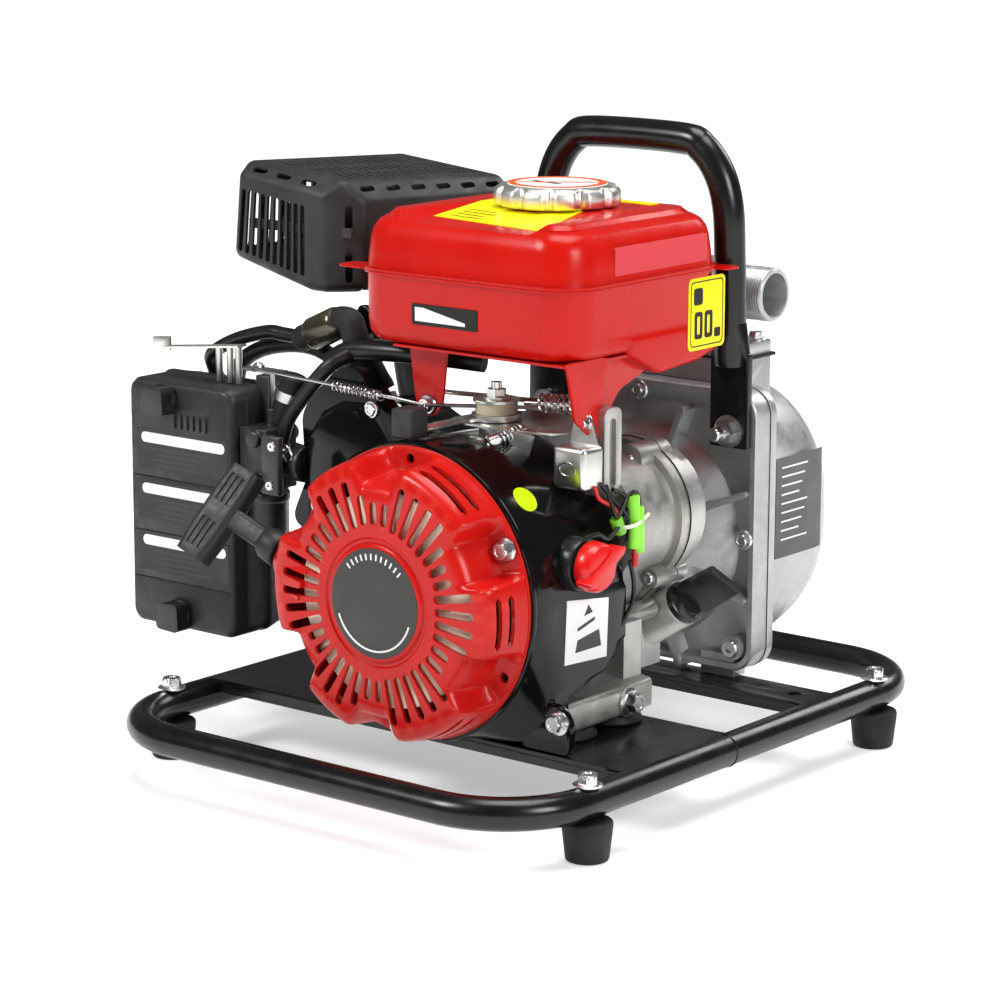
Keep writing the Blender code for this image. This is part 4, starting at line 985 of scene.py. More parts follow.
def build_carburettor():
    piece("carburettor_body", box((-146.2, -94, 158), (-125, -66, 196)), "pot_metal",
          stands_for=("carburettor",),
          joins=[turned([(7, 128), (10.5, 130), (11.5, 132), (11.5, 150), (13, 151), (13, 156)],
                        UP, (-135.5, -80, 0), 40),
                 turned([(8, -129), (8, -112), (11, -111), (11, -104)], RIGHT, (0, -80, 176),
                        32), cylinder(4.4, 195, 206, UP, (-135, -76, 0)),
                 cylinder(5, -98, -60, REAR, (-133, 0, 190)),
                 cylinder(3.4, -101, -60, REAR, (-131, 0, 166))], bevel=0.9, segments=3)
    piece("float_bowl_nut", hex_bolt((-135.5, -80, 127.6), (0, 0, -1), 5.0, 6.0, 5.0, 3), "brass")
    for i, (x, z, r) in enumerate(((-116, 188, 3.2), (-118, 164, 3.2), (-131, 166, 4.0))):
        piece(f"carb_screw_{i}", turned([(r, -1), (r, 2.4), (r * 0.8, 3.2), (r * 0.3, 3.2),
                                         (r * 0.3, 2.4)], FRONT, (x, -96 if i < 2 else -101, z),
                                        24), "bolt_zinc")
    piece("carb_flange", box((-125.2, -98, 158), (-111, -93, 194)), "pot_metal",
          bevel=1.2)
    hose = curve([(-125, -82, 178), (-124, -80, 190), (-119, -77, 205), (-98, -73, 231),
                  (-89, -65, 240), (-80, -44, 246), (-50, -30, 250)], 10)
    piece("fuel_line", sweep(hose, 4.6, 20), "hose", stands_for=("fuel_hose",))
    loop = [(-125 + 6.0 * math.cos(a), -81.5 + 6.0 * math.sin(a), 184 + 1.2 * math.sin(a))
            for a in [2 * math.pi * i / 24 for i in range(24)]]
    piece("hose_clip", sweep(loop, 0.75, 8, closed=True), "bolt_zinc")
    piece("hose_clip_tail", sweep(curve([(-119, -86, 184), (-112, -90, 188), (-107, -90, 182),
                                         (-112, -89, 178), (-119, -86, 182)], 6), 0.75, 8),
          "bolt_zinc")
    breather = curve([(-200, -40, 205), (-195, -40, 222), (-178, -40, 233), (-155, -40, 238.5),
                      (-135, -40, 239), (-118, -40, 234), (-100, -38, 224), (-88, -34, 214)], 8)
    piece("breather_hose", sweep(breather, 5.2, 24), "hose")
    vent = curve([(-103, -60, 236), (-88, -58, 244), (-60, -56, 246), (-30, -50, 246),
                  (0, -40, 244)], 8)
    piece("vent_hose", sweep(vent, 6.0, 24), "wire")
    piece("linkage_block", box((-153, -72, 194), (-142, -60, 224)), "pot_metal",
          bevel=0.8)
    piece("linkage_bar", box((-141, -72, 190), (-137, -62, 226)), "zinc",
          bevel=0.4)
    piece("linkage_plate", box((-166, -72, 225.5), (-137, -60, 227)), "zinc",
          bevel=0.3)
    piece("linkage_screw", hex_bolt((-156, -66, 227), UP, 3.2, 4.2, 3.2, 2), "bolt_zinc")
    piece("hose_band", lathe([(8.4, -3), (9.4, -3), (9.4, 3), (8.4, 3)], (0.3, 0.1, 0.95),
                             (-127, -70, 214)), "steel")
    piece("intake_stub", turned([(8.2, -22), (8.2, 12), (7, 13)], (0.3, 0.1, 0.95),
                                (-127, -70, 214), 40), "rubber")


# ---------------------------------------------------------------- muffler and guard

GUARD = ((-204.5, 288.0), (-141.0, 272.0), (-103.0, 272.0), (-103.0, 322.0), (-130.0, 351.0),
         (-198.0, 356.0))
GUARD_PLAN = ((-206.0, -38.0), (-127.0, -38.0), (-109.0, -20.0), (-104.0, 118.0),
              (-206.0, 118.0))


GUARD_ROUND = 7.0


def guard_front_edge(x):
    """Height at which the guard's front face turns into its sloping upper edge."""
    return 338.5 - 0.124 * (x + 184)


def guard_top(x, y):
    return 347.5 - 0.1 * (x + 192) - 0.05 * (y + 26)


def grown_round(bm, radius):
    """The convex shape grown by the radius, so that its edges and corners come out round."""
    ball = bmesh.new()
    bmesh.ops.create_icosphere(ball, subdivisions=3, radius=radius)
    hull = bmesh.new()
    for vert in bm.verts:
        for spot in ball.verts:
            hull.verts.new(vert.co + spot.co)
    found = bmesh.ops.convex_hull(hull, input=hull.verts)
    spare = {g for g in found["geom_interior"] + found["geom_unused"]
             if isinstance(g, bmesh.types.BMVert)}
    bmesh.ops.delete(hull, geom=list(spare), context="VERTS")
    ball.free()
    bm.free()
    return hull


def guard_core(radius):
    """The guard's block, its edges rounded; a smaller radius gives the hollow inside it."""
    inset = GUARD_ROUND
    slope = []
    for x in (-212, -98):
        z = guard_front_edge(x)
        meet = -38 + guard_top(x, -30) - z
        slope.append((x, [(-38 + inset, 250), (-38 + inset, z - 0.414 * inset),
                          (meet + 0.414 * inset, guard_top(x, meet) - inset),
                          (130, guard_top(x, 130) - inset), (130, 250)]))
    core = softened(prism(inset_outline(GUARD, inset), "Y", -50, 125),
                    meets=[prism(inset_outline(GUARD_PLAN, inset), "Z", 255, 360),
                           loft(slope, "X")])
    return grown_round(core, radius)


def build_muffler():
    front = []
    for i in range(10):
        x = -194.5 + 5.55 * i
        low, high = 292.0 - 1.2 * i, 331.0 - 0.7 * i
        front.append(prism(pill(x, (low + high) / 2, high - low, 3.6, 84.3 + 0.6 * i), "Y", -60,
                           -24))
    bevelled = []
    for i in range(6):
        bm = prism(pill(0, 0, 13.0, 4.2), "Z", -5, 12)
        x = -115.0 + 1.2 * i
        bm.transform(Matrix.Translation(Vector((x, -12.0 + 22.6 * i, 331.0 - 1.08 * (x + 112))))
                     @ Matrix.Rotation(math.radians(47), 4, "Y")
                     @ Matrix.Rotation(math.radians(90), 4, "Z"))
        bevelled.append(bm)
    for x in (-182.6, -163.2, -143.1):
        bm = prism(pill(0, 0, 11.5, 4.0), "Z", -6, 10)
        bm.transform(Matrix.Translation(Vector((x, -33.6, guard_front_edge(x) + 4.4)))
                     @ Matrix.Rotation(math.radians(45), 4, "X"))
        bevelled.append(bm)
    corner = []
    for z in (288.0, 316.0):
        bm = prism(pill(0, 0, 20.0, 4.6), "Z", -8, 12)
        bm.transform(Matrix.Translation(Vector((-115.0, -28.5, z)))
                     @ Matrix.Rotation(math.radians(-43.5), 4, "Z")
                     @ Matrix.Rotation(math.radians(90), 4, "Y"))
        corner.append(bm)
    side = []
    for i in range(12):
        y = -11.0 + 10.2 * i
        low, high = (279.0 if i == 0 else 284.0), (312.0 if i % 2 else 315.0)
        side.append(prism(pill(y, (low + high) / 2, high - low, 3.6, 90), "X", -125, -95))
    left = [prism(pill(-26.0 + 9.2 * i, 312.5, 39.0, 6.4, 90), "X", -220, -190)
            for i in range(15)]
    top = []
    for i in range(16):
        y = -14.0 + 7.8 * i
        for x0, x1 in ((-184, -165), (-160, -146), (-141, -124)):
            top.append(prism(pill((x0 + x1) / 2, y, x1 - x0, 3.4), "Z", 318, 366))
    piece("guard_shell", guard_core(GUARD_ROUND), "guard_black",
          stands_for=("muffler_guard",),
          cuts=[guard_core(GUARD_ROUND - 2.0), merged(*front), merged(*side), merged(*left),
                merged(*bevelled), merged(*corner), merged(*top),
                box((-137, -20, 255), (-112, 100, 282))], sharp=40)
    piece("muffler_can", turned([(16, -24), (21, -22.5), (23, -19), (23, 88), (21, 92), (16, 94)],
                                REAR, (-154, 0, 308), 64), "guard_black",
          stands_for=("muffler",),
          joins=[sweep(curve([(-150, 30, 300), (-131, 28, 291), (-123, 26, 268), (-112, 22, 220),
                              (-96, 14, 186), (-82, 4, 175), (-80, -1, 173)], 8), 8, 24)])
    piece("muffler_seam", lathe([(22.5, 33), (25, 33), (25, 36), (22.5, 36)],
                                centre=(-154, 0, 308)), "guard_black")
    piece("guard_stay", box((-196, -30, 306), (-112, -27.5, 312)), "guard_black",
          bevel=0.4)


# ---------------------------------------------------------------- ignition, wiring and controls

def build_ignition():
    axis = Vector((-0.45, -0.2, 0.87)).normalized()
    seat = Vector((-63.0, -40.0, 195.0))
    boot = [(5.6, 27), (9.2, 27), (9.6, 31), (9.2, 35), (9.4, 50), (7.4, 56), (5.4, 58), (1.0, 58),
            (1.0, 46), (5.6, 46)]
    piece("plug_boot", lathe(boot, axis, seat), "rubber",
          stands_for=("spark_plug_cap",))
    piece("plug_elbow", sweep(curve([seat + axis * 55, (-90.5, -51.5, 252), (-95, -50.5, 259.5),
                                     (-103, -50, 260.0), (-108, -50, 257.5)], 6), 8.2, 28),
          "rubber")
    barrel = (0.909, 0.0, 0.416)
    piece("plug_barrel", turned([(7, -2), (9.2, 0), (10.2, 2), (10.2, 22), (9.6, 24), (8, 25.5)],
                                barrel, (-126.0, -50.0, 248.6), 48), "sleeve")
    piece("lead_boot", turned([(4.6, -10), (6.2, -9), (8.0, -5), (8.2, 4), (7.0, 5)], barrel,
                              (-129.0, -50.0, 247.8), 40), "rubber")
    lead = curve([(-134, -50, 246), (-150, -50, 246.5), (-163, -50, 246.5), (-190, -49, 239),
                  (-212, -47, 228), (-217, -42, 219), (-214, -36, 205), (-205, -30, 185),
                  (-180, -20, 170), (-140, -16, 165), (-110, -14, 168)], 8)
    piece("spark_lead", sweep(lead, 4.4, 20), "wire",
          stands_for=("ignition_lead",))


def build_throttle():
    plate = [(-8, -62), (10, -70), (40, -72), (70, -62), (78, -34), (60, -14), (20, -10),
             (-4, -30)]
    piece("throttle_plate", prism(round_corners(plate, 5), "Z", 212, 213.6), "zinc",
          stands_for=("control_plate",),
          joins=[prism(round_corners([(26, 213), (62, 213), (56, 196), (36, 196)], 3), "Y", -72,
                       -70.4), prism([(20, 207), (30, 207), (30, 213), (20, 213)], "Y", -70, -68)],
          bevel=0.5, segments=2)
    axis = (-0.42, -0.86, -0.26)
    piece("idle_screw", turned([(2.6, 0), (2.6, 18), (4.6, 18.2), (4.6, 24), (3.4, 25)], axis,
                               (47, -61, 213)), "bolt_zinc")
    piece("idle_spring", coil((46, -63.5, 212.4), (39.5, -77, 208.4), 3.9, 6, 0.7), "bolt_zinc")
    pivot = (17.0, -50.0, 0)
    piece("friction_disc", turned([(12.4, 218.0), (12.4, 224.6)], centre=pivot), "cream")
    piece("throttle_arm", prism(round_corners([(3, -112), (13, -112), (13, -70), (24, -56),
                                               (24, -42), (10, -38), (3, -46)], 3), "Z", 214.3,
                                216.0), "zinc", body="throttle",
          stands_for=("throttle_lever",),
          joins=[turned([(14.6, 214.3), (14.6, 217.8), (11.8, 217.9), (11.8, 217.95)],
                        centre=pivot)], bevel=0.3, segments=2)
    piece("throttle_stack", turned([(13.6, 224.8), (13.8, 226.2), (8.5, 226.4), (8.5, 227.6),
                                    (5.9, 227.8, 6), (5.9, 232, 6), (3.2, 232.2), (3.2, 236.0)],
                                   centre=pivot, sides=36), "zinc", body="throttle")
    piece("throttle_knob_block", prism(round_corners([(0, 212), (15, 212), (15, 229), (0, 229)],
                                                     2), "Y", -124, -109), "plastic",
          body="throttle", bevel=1.0)


def build_governor():
    """The governor's rod and link ride its shaft; the return spring stays with the engine."""
    upper = round_corners([(-46, -46), (-20, -42), (6, -36), (30, -34), (52, -40), (52, -32),
                           (30, -24), (4, -28), (-24, -34), (-46, -38)], 3)
    piece("governor_bell", prism(upper, "Z", 222.4, 223.8), "zinc", bevel=0.3,
          segments=2)
    piece("governor_bell_nut", hex_bolt((-42, -42, 223.8), UP, 4.4, 5.6, 4.8, 6),
          "bolt_zinc")
    piece("governor_shaft", turned([(4, 212), (4, 229), (3, 230)], centre=(72, -24, 0)), "zinc",
          body="governor", stands_for=("governor_arm",))
    rod = curve([(-143, -85, 230.8), (-110, -89.5, 230.6), (-72, -92, 229.6), (-40, -90, 227.4),
                 (-12, -81, 223)], 8)
    piece("governor_rod", sweep(rod, 1.0, 10), "steel", body="governor")
    piece("governor_spring", coil((-72, -92, 229.0), (-36, -90, 226.6), 2.8, 12, 0.55), "steel",
          body="governor")
    piece("governor_link", sweep([(-12, -80, 223), (20, -52, 222), (72, -24, 222)], 1.2, 10),
          "steel", body="governor")
    piece("return_spring", coil((40, -38, 224.4), (64, -34, 225.4), 5.2, 6, 0.9), "bolt_zinc")
    piece("return_spring_bar", sweep([(30, -40, 223.6), (68, -33.4, 225.6)], 1.6, 12), "zinc")


def build_alert_box():
    tab = prism(round_corners([(79, 208), (99, 208), (96, 218), (93, 226), (88, 229), (83, 226),
                               (80, 216)], 3), "Y", -60.5, -59)
    piece("alert_box", softened(box((77, -75, 185), (100.5, -56, 210)), bevel=3.4), "zinc",
          stands_for=("oil_alert_unit",), joins=[tab], bevel=0.4)
    outer, core = ellipse(88, 197, 6.2, 4.4), ellipse(88, 197, 5.2, 3.4)
    piece("alert_oval", prism(outer, "Y", -75.5, -74.8), "bolt_zinc",
          cuts=[prism(core, "Y", -76, -70)])
    piece("alert_bolt", hex_bolt((89, -60.5, 222), FRONT, 4.4, 5.6, 4.6, 3), "bolt_zinc")


def build_switch():
    switch = (104.5, -82.0, 146.0)
    piece("switch_collar", turned([(14.6, -11), (15.4, -9), (15.4, 2.0), (14.8, 3.0),
                                   (12.4, 3.4), (12.4, 5.0)],
                                  RIGHT, switch), "smooth_plastic",
          stands_for=("switch_body",))
    fin = prism(round_corners([(-18, -6), (-15, -9.4), (14.6, 7), (15.6, 10.4), (12.6, 11)], 1.6),
                "X", 4, 14)
    fin.transform(Matrix.Translation(Vector((109.8, -82.0, 146.0))))
    piece("stop_switch_knob", turned([(14.2, 0), (14.6, 1), (14.2, 7), (12.4, 9.6), (8, 11)],
                                     RIGHT, (109.9, -82.0, 146.0)), "red_knob",
          body="engine_switch", stands_for=("switch_knob",), joins=[fin],
          bevel=0.8, segments=3)


def build_wires():
    wires = {
        "wire_loop_a": [(101, -60, 188), (102, -50, 178), (106, -44, 170), (106, -40, 158),
                        (105, -42, 150), (104, -50, 140), (103, -62, 127), (102, -70, 124),
                        (101, -76, 130)],
        "wire_loop_b": [(101, -56, 187), (104, -54, 176), (105, -50, 168), (106, -42, 178),
                        (106, -34, 180), (106, -30, 172), (105, -34, 160)],
        "wire_loop_c": [(104, -36, 140), (104, -32, 126), (104, -34, 114), (102, -42, 102),
                        (98, -46, 96)],
        "wire_loop_d": [(103, -78, 160), (105, -68, 161), (105, -58, 157), (106, -48, 164),
                        (106, -40, 172), (105, -44, 180), (103, -52, 184)],
    }
    for name, knots in wires.items():
        piece(name, sweep(curve(knots, 8), 1.35, 12), "wire")
    piece("wire_red", sweep(curve([(101, -66, 187), (101, -62, 180), (103, -52, 174),
                                   (105, -46, 166)], 8), 1.3, 12), "red_wire")
    piece("wire_red_low", sweep(curve([(107, -36, 152), (107, -35, 144), (106, -34, 137)], 8), 1.9,
                                12), "red_wire")
    for name, low, high, r in (("bullet_sleeve_a", (107, -38, 179), (107, -36, 148), 4.0),
                               ("bullet_sleeve_b", (104, -50, 167), (104, -45, 158), 3.8),
                               ("bullet_sleeve_c", (108, -34, 172), (108, -33, 145), 3.4)):
        piece(name, sweep([low, high], r, 20), "green", bevel=0.8)
    tie = [(106.5 + 5.2 * math.cos(a), -40 + 7.5 * math.sin(a), 163 + 1.2 * math.sin(a))
           for a in [2 * math.pi * i / 30 for i in range(30)]]
    piece("cable_tie", sweep(tie, 1.2, 8, closed=True), "nylon")
    piece("cable_tie_tail", sweep([(110, -34, 163), (108, -24, 166)], 1.1, 8), "nylon")


# ---------------------------------------------------------------- tank

TANK_X, TANK_Y = (-65.0, 96.0), (-84.5, 69.0)
SEAM_Z = 298.5


def tank_outline(inset, corner):
    return rounded(TANK_X[0] + inset, TANK_Y[0] + inset, TANK_X[1] - inset,
                   TANK_Y[1] - inset, corner, 10)


TANK_SLOPE = (-66.0, 328.2, -8.0, 333.4)   # y and height at the filler slope's two ends


def tank_top(y):
    """Height of the tank's top in the middle, where it slopes down to the front."""
    y0, z0, y1, z1 = TANK_SLOPE
    return z1 if y >= y1 else z0 + (y - y0) * (z1 - z0) / (y1 - y0)


def on_slope(outline, thick):
    """A thin label lying on the tank's sloping top, from four corners given clockwise."""
    bm = bmesh.new()
    loops = []
    for lift in (-0.3, thick):
        loops.append([bm.verts.new((x, y, tank_top(y) + lift)) for x, y in outline])
    bridge(bm, *loops)
    bm.faces.new(loops[0])
    bm.faces.new(loops[1])
    return bm


FILLER = (17.0, 6.0, 0.0)      # the filler neck's axis, on the tank's top
CAP_POINTS = 192
CAP_LOBES = 12


def build_tank_shells():
    low = SEAM_Z - 0.15
    lower = [(256.4, tank_outline(12, 17)), (257.0, tank_outline(7, 21)),
             (259.0, tank_outline(3, 24)), (263.0, tank_outline(1.0, 25)),
             (270.0, tank_outline(0.3, 25)), (low, tank_outline(0, 25))]
    sump = softened(prism([(-29, 268), (-26, 256), (4, 241.8), (42, 244.5), (63, 250),
                           (68.6, 258), (68.6, 268)], "X", -24, 95.6), bevel=4.0, bevel_angle=12)
    rim = prism(tank_outline(-2.2, 27), "Z", low - 1.3, low)
    tabs = [prism(rounded(-84, -76, -60, -58, 6), "Z", low - 1.2, low - 0.1),
            prism(rounded(84, 56, 104, 71.2, 5), "Z", low - 1.2, low - 0.1)]
    piece("tank_lower_shell", loft(lower, "Z"), "red_paint",
          stands_for=("tank_lower",), joins=[sump, rim] + tabs,
          cuts=[loft([(260, tank_outline(12, 16)), (272, tank_outline(5, 20)),
                      (low + 2, tank_outline(2, 22))], "Z")],
          bevel=1.0, segments=3, bevel_angle=45, sharp=45)
    high = SEAM_Z + 0.15
    upper = [(high, tank_outline(0, 25)), (308, tank_outline(0.5, 25)), (318, tank_outline(1.6, 25)),
             (323, tank_outline(3.0, 24)), (327, tank_outline(5.6, 23)),
             (329.5, tank_outline(9.5, 21)), (330.6, tank_outline(15, 17)),
             (330.8, tank_outline(20, 14))]
    rim = prism(tank_outline(-2.2, 27), "Z", high, high + 1.3)
    panel = rounded(-49, -70, 80, 52, 12, 6)
    grown = rounded(-52, -73, 83, 55, 14, 6)
    panel_shape = loft([(327, grown), (330.6, grown), (333.0, panel), (333.4, panel)], "Z")
    channel = []
    for x, lift in ((-41, 7), (-33, 0), (62, 0), (71, 7)):
        channel.append((x, [(-92, 326.4 + lift), (-66, TANK_SLOPE[1] + lift), (-8, 333.2 + lift),
                            (-8, 345), (-92, 345)]))
    piece("tank_upper_shell", loft(upper, "Z"), "red_paint",
          stands_for=("tank_upper",), joins=[rim, panel_shape],
          cuts=[loft([(high - 2, tank_outline(2, 22)), (316, tank_outline(4.5, 22)),
                      (322.5, tank_outline(12, 16))], "Z"),
                cylinder(22, 322, 340, UP, FILLER, 48), loft(channel, "X")],
          bevel=1.6, segments=4, bevel_angle=24, sharp=50)
    piece("tank_seam", prism(tank_outline(-1.6, 26.4), "Z", low - 0.1, high + 0.1), "red_paint",
          cuts=[prism(tank_outline(2, 22), "Z", 290, 310)])


def build_fuel_cap():
    """A chrome cap with a scalloped edge, and the printed disc on it."""
    profile = ((21, 325.5), (21, 333.6), (33.5, 333.6), (36.4, 334.2), (37.4, 335.4), (37.5, 341.0),
               (36.6, 343.6), (34.6, 345.4), (31.8, 346.2))
    bm = bmesh.new()
    loops = []
    for radius, z in profile:
        loop = []
        for i in range(CAP_POINTS):
            angle = 2 * math.pi * i / CAP_POINTS
            wave = max(0.0, math.cos(CAP_LOBES * angle)) ** 1.6 if radius > 33 else 0.0
            reach = radius - 3.4 * wave * min(1.0, (radius - 33) / 3.0)
            loop.append(bm.verts.new((FILLER[0] + reach * math.cos(angle),
                                      FILLER[1] + reach * math.sin(angle), z)))
        loops.append(loop)
    for a, b in zip(loops, loops[1:]):
        bridge(bm, a, b)
    bm.faces.new(loops[0])
    bm.faces.new(loops[-1])
    piece("tank_cap_chrome", bm, "chrome", body="tank_cap",
          stands_for=("fuel_cap",), sharp=40)
    piece("tank_cap_disc", turned([(29.5, 346.0), (29.5, 346.5), (28.8, 346.7)], centre=FILLER),
          "white", body="tank_cap")
    piece("tank_cap_ring", lathe([(24.5, 346.6), (29.0, 346.6), (29.0, 346.95), (24.5, 346.95)],
                                 UP, FILLER), "print_orange", body="tank_cap")
    bar = prism(pill(17, 6, 48, 3.6, 38), "Z", 346.6, 346.9)
    piece("tank_cap_bar", bar, "print_orange", body="tank_cap")
    piece("tank_cap_mark", prism(pill(12, 2, 26, 3.4, -12), "Z", 346.6, 346.8), "print_black",
          body="tank_cap")
    piece("tank_neck_ring", lathe([(22.5, 331), (31, 331), (29, 333.5), (22.5, 333.5)], UP,
                                  FILLER), "red_paint")


def build_tank_stay():
    legs = [prism(round_corners([(-34, 257), (-5, 257), (-9, 222), (-14, 214), (-24, 214),
                                 (-29, 222)], 4), "Y", -68, -66.2),
            prism(round_corners([(-81, 258), (-45.5, 258), (-48.6, 214), (-55, 211),
                                 (-72.6, 224)], 3), "X", 90.4, 92),
            prism(round_corners([(-44, 257.5), (0, 250), (-2, 243), (-24, 236), (-36, 224),
                                 (-44, 212)], 2), "X", 85.0, 86.8),
            box((85, -46, 250), (92, -42, 257))]
    piece("tank_stay", box((-36, -80, 255.0), (92, -20, 256.5)), "red_paint",
          stands_for=("tank_bracket",), joins=legs, bevel=0.7, segments=3)
    piece("stay_bolt", hex_bolt((-19, -68.2, 221), FRONT, 4.6, 6.0, 5.0, 2), "bolt_zinc")


def build_tank_labels():
    """Blank labels with generic marks."""
    low_part = [(-26, -55), (61, -66), (46.5, -8), (-29, -8)]
    high_part = [(-29, -8), (46.5, -8), (40.5, 12), (-30, 12)]
    piece("fuel_notice", on_slope(low_part, 0.25), "yellow", bevel=0.0)
    piece("fuel_notice_top", on_slope(high_part, 0.25), "yellow",
          cuts=[cylinder(31.2, 320, 340, UP, FILLER, 64)])
    piece("fuel_notice_back", prism(rounded(10, 40, 60, 49, 1), "Z", 333.4, 333.7), "yellow")
    marks = []
    for i in range(4):
        y = -50.0 + 6.0 * i
        marks.append(on_slope([(-18, y), (8 - 4 * (i % 2), y - 3), (8 - 4 * (i % 2), y - 2),
                               (-18, y + 1)], 0.4))
    piece("fuel_notice_marks", merged(*marks), "print_black")
    piece("noise_label", prism(rounded(29, 251.5, 65.5, 294, 3.5), "X", 95.6, 96.15), "yellow",
          bevel=0.1)
    frame_line = prism(rounded(31, 253.5, 63.5, 292, 3.0), "X", 96.1, 96.3)
    piece("noise_label_line", frame_line, "print_black",
          cuts=[prism(rounded(31.7, 254.2, 62.8, 291.3, 2.5), "X", 90, 100)])
    blocks = [prism(rounded(35, 258, 43, 274, 2), "X", 96.1, 96.32),
              prism(rounded(45, 258, 53, 274, 2), "X", 96.1, 96.32),
              prism(rounded(55, 257.5, 61, 263, 1), "X", 96.1, 96.3),
              prism(rounded(34, 278, 43, 288, 2), "X", 96.1, 96.3)]
    piece("noise_label_blocks", merged(*blocks), "print_black",
          cuts=[prism(rounded(37.6, 260.6, 40.4, 271.4, 1), "X", 90, 100),
                prism(rounded(47.6, 260.6, 50.4, 271.4, 1), "X", 90, 100)])
    piece("side_sticker", prism(rounded(-42, 303.5, 47, 319.5, 1.2), "X", 93.6, 95.75),
          "pale_red")
    piece("throttle_label", prism(rounded(-17.5, 270.5, 30.5, 282.5, 0.6), "Y", -85.0, -82.4),
          "print_black")
    wedge = [(-15, 280.6), (-9, 280.6), (22, 274.4), (22, 272.6), (-15, 272.6)]
    piece("throttle_label_wedge", prism(wedge, "Y", -85.2, -84.6), "white")


# ---------------------------------------------------------------- pump

def pump_outline(inset, corner):
    return rounded(-68 + inset, 47 + inset, 105 - inset, 220 - inset, corner, 10)


PORT_BORE = 12.5
THREAD_ROOT, THREAD_CREST, THREAD_PITCH = 15.9, 16.5, 1.8
DISCHARGE = (36, 124, 0)        # points on the axes of the ports and plugs
OUTLET = (0, 124, 274)
SUCTION = (19, 0, 150)
PRIMING = (-34, 126, 0)
DRAIN = (19, 0, 76)
LOW_SCREWS = ((91, 61.5), (-54, 61.5))


def thread(start, end):
    """Rings of a pipe thread, drawn as ridges rather than as a helix."""
    rings = []
    at = start
    while at < end:
        rings += [(THREAD_ROOT, at), (THREAD_CREST, at + THREAD_PITCH / 2)]
        at += THREAD_PITCH
    return rings


def build_pump_plate():
    back = 102.8
    ribs = [polar_slot(22.5 + 45 * i, 30, 88, 4.0, 84.5, back - 1) for i in range(8)]
    bosses = [cylinder(7.5, 86.5, back, REAR, (x, 0, z))
              for x, z in LOW_SCREWS]
    bosses += [cylinder(10.5, 88, back, REAR, (19 + s * 69, 0, 196)) for s in (-1, 1)]
    bosses += [box((x, 90, 42.3), (x + 24, back, 56)) for x in (-52, 66)]
    cone = turned([(46, 53), (46, 60), (41, 62.5), (41, 66), (38.5, 68), (38.5, 74), (46, 82),
                   (64, 92), (72, back - 1)], REAR, crank(0), 96)
    rim = [(back, pump_outline(0, 16)), (89, pump_outline(0, 16)), (88, pump_outline(0.6, 16)),
           (88, pump_outline(4.2, 12)), (97.5, pump_outline(6, 11))]
    piece("adapter_plate", loft(rim, "Y"), "grey_cast",
          stands_for=("pump_plate",), joins=[cone, merged(*ribs)] + bosses,
          cuts=[turned([(34, 40), (34, 70), (28, 95)], REAR, crank(0), 64),
                cylinder(9.3, 60, 120, REAR, crank(0))],
          bevel=1.3, segments=3, bevel_angle=38, sharp=40)
    for side, x in (("right", 88.5), ("left", -50.5)):
        stud = turned([(4, -10), (4, 0), (10, 0.2), (10, 1.8), (7.2, 2.0, 6), (7.2, 8.6, 6),
                       (4.2, 9), (4.2, 16), (3.4, 17)], FRONT, (x, 83.3, 196), 36)
        piece(f"strap_nut_{side}", stud, "bolt_zinc")
    for i, (x, z) in enumerate(LOW_SCREWS):
        piece(f"plate_screw_{i}", turned([(5.6, -2), (5.6, 2.4), (4.8, 3.4), (2.4, 3.4),
                                          (2.2, 1.4)], FRONT, (x, 86.5, z)), "bolt_zinc")
    piece("pump_gasket", prism(pump_outline(-0.3, 16), "Y", 102.85, 103.25), "gasket",
          cuts=[prism(pump_outline(9, 44), "Y", 90, 110)])


def build_pump_casing():
    front = 103.3
    sections = ((front, 0.6, 16), (front + 0.8, 0, 16), (front + 6.4, 0, 16), (front + 7.2, 0.8, 16),
                (front + 7.3, 4.6, 36), (135, 4.0, 50), (160, 4.4, 62), (172, 6.8, 65),
                (181, 10.8, 66), (188, 16.4, 63), (194, 24.5, 57), (199, 34, 48), (203, 44, 40),
                (205, 52, 33.5))
    piece("pump_dome", loft([(y, pump_outline(inset, corner)) for y, inset, corner in sections],
                            "Y"), "dome_cast", stands_for=("pump_casing",),
          joins=[prism(rounded(2, front, 80, 142, 5), "Z", 196, 234.6),
                 cylinder(14, 190, 226, UP, PRIMING),
                 cylinder(10, 160, 203, REAR, DRAIN)],
          cuts=[loft([(y, pump_outline(inset, corner)) for y, inset, corner in
                      ((front - 2, 9, 44), (158, 9, 58), (177, 15, 62), (197, 48, 36))], "Y"),
                cylinder(PORT_BORE, 180, 220, REAR, SUCTION),
                cylinder(PORT_BORE, 190, 240, UP, DISCHARGE),
                cylinder(8.3, 190, 240, UP, PRIMING),
                cylinder(5.3, 150, 220, REAR, DRAIN)],
          bevel=1.0, segments=3, bevel_angle=45, sharp=38)
    bolts = [hex_bolt((x, 87.6, z), FRONT, 4.6, 6.2, 4.6, 2)
             for x, z in ((98, 130), (-61, 130), (19, 213))]
    piece("flange_bolts", merged(*bolts), "bolt_zinc")
    piece("elbow_gasket", prism(rounded(1, 102.5, 82.5, 143, 4), "Z", 234.6, 235.9), "gasket",
          cuts=[cylinder(PORT_BORE, 230, 240, UP, DISCHARGE)])


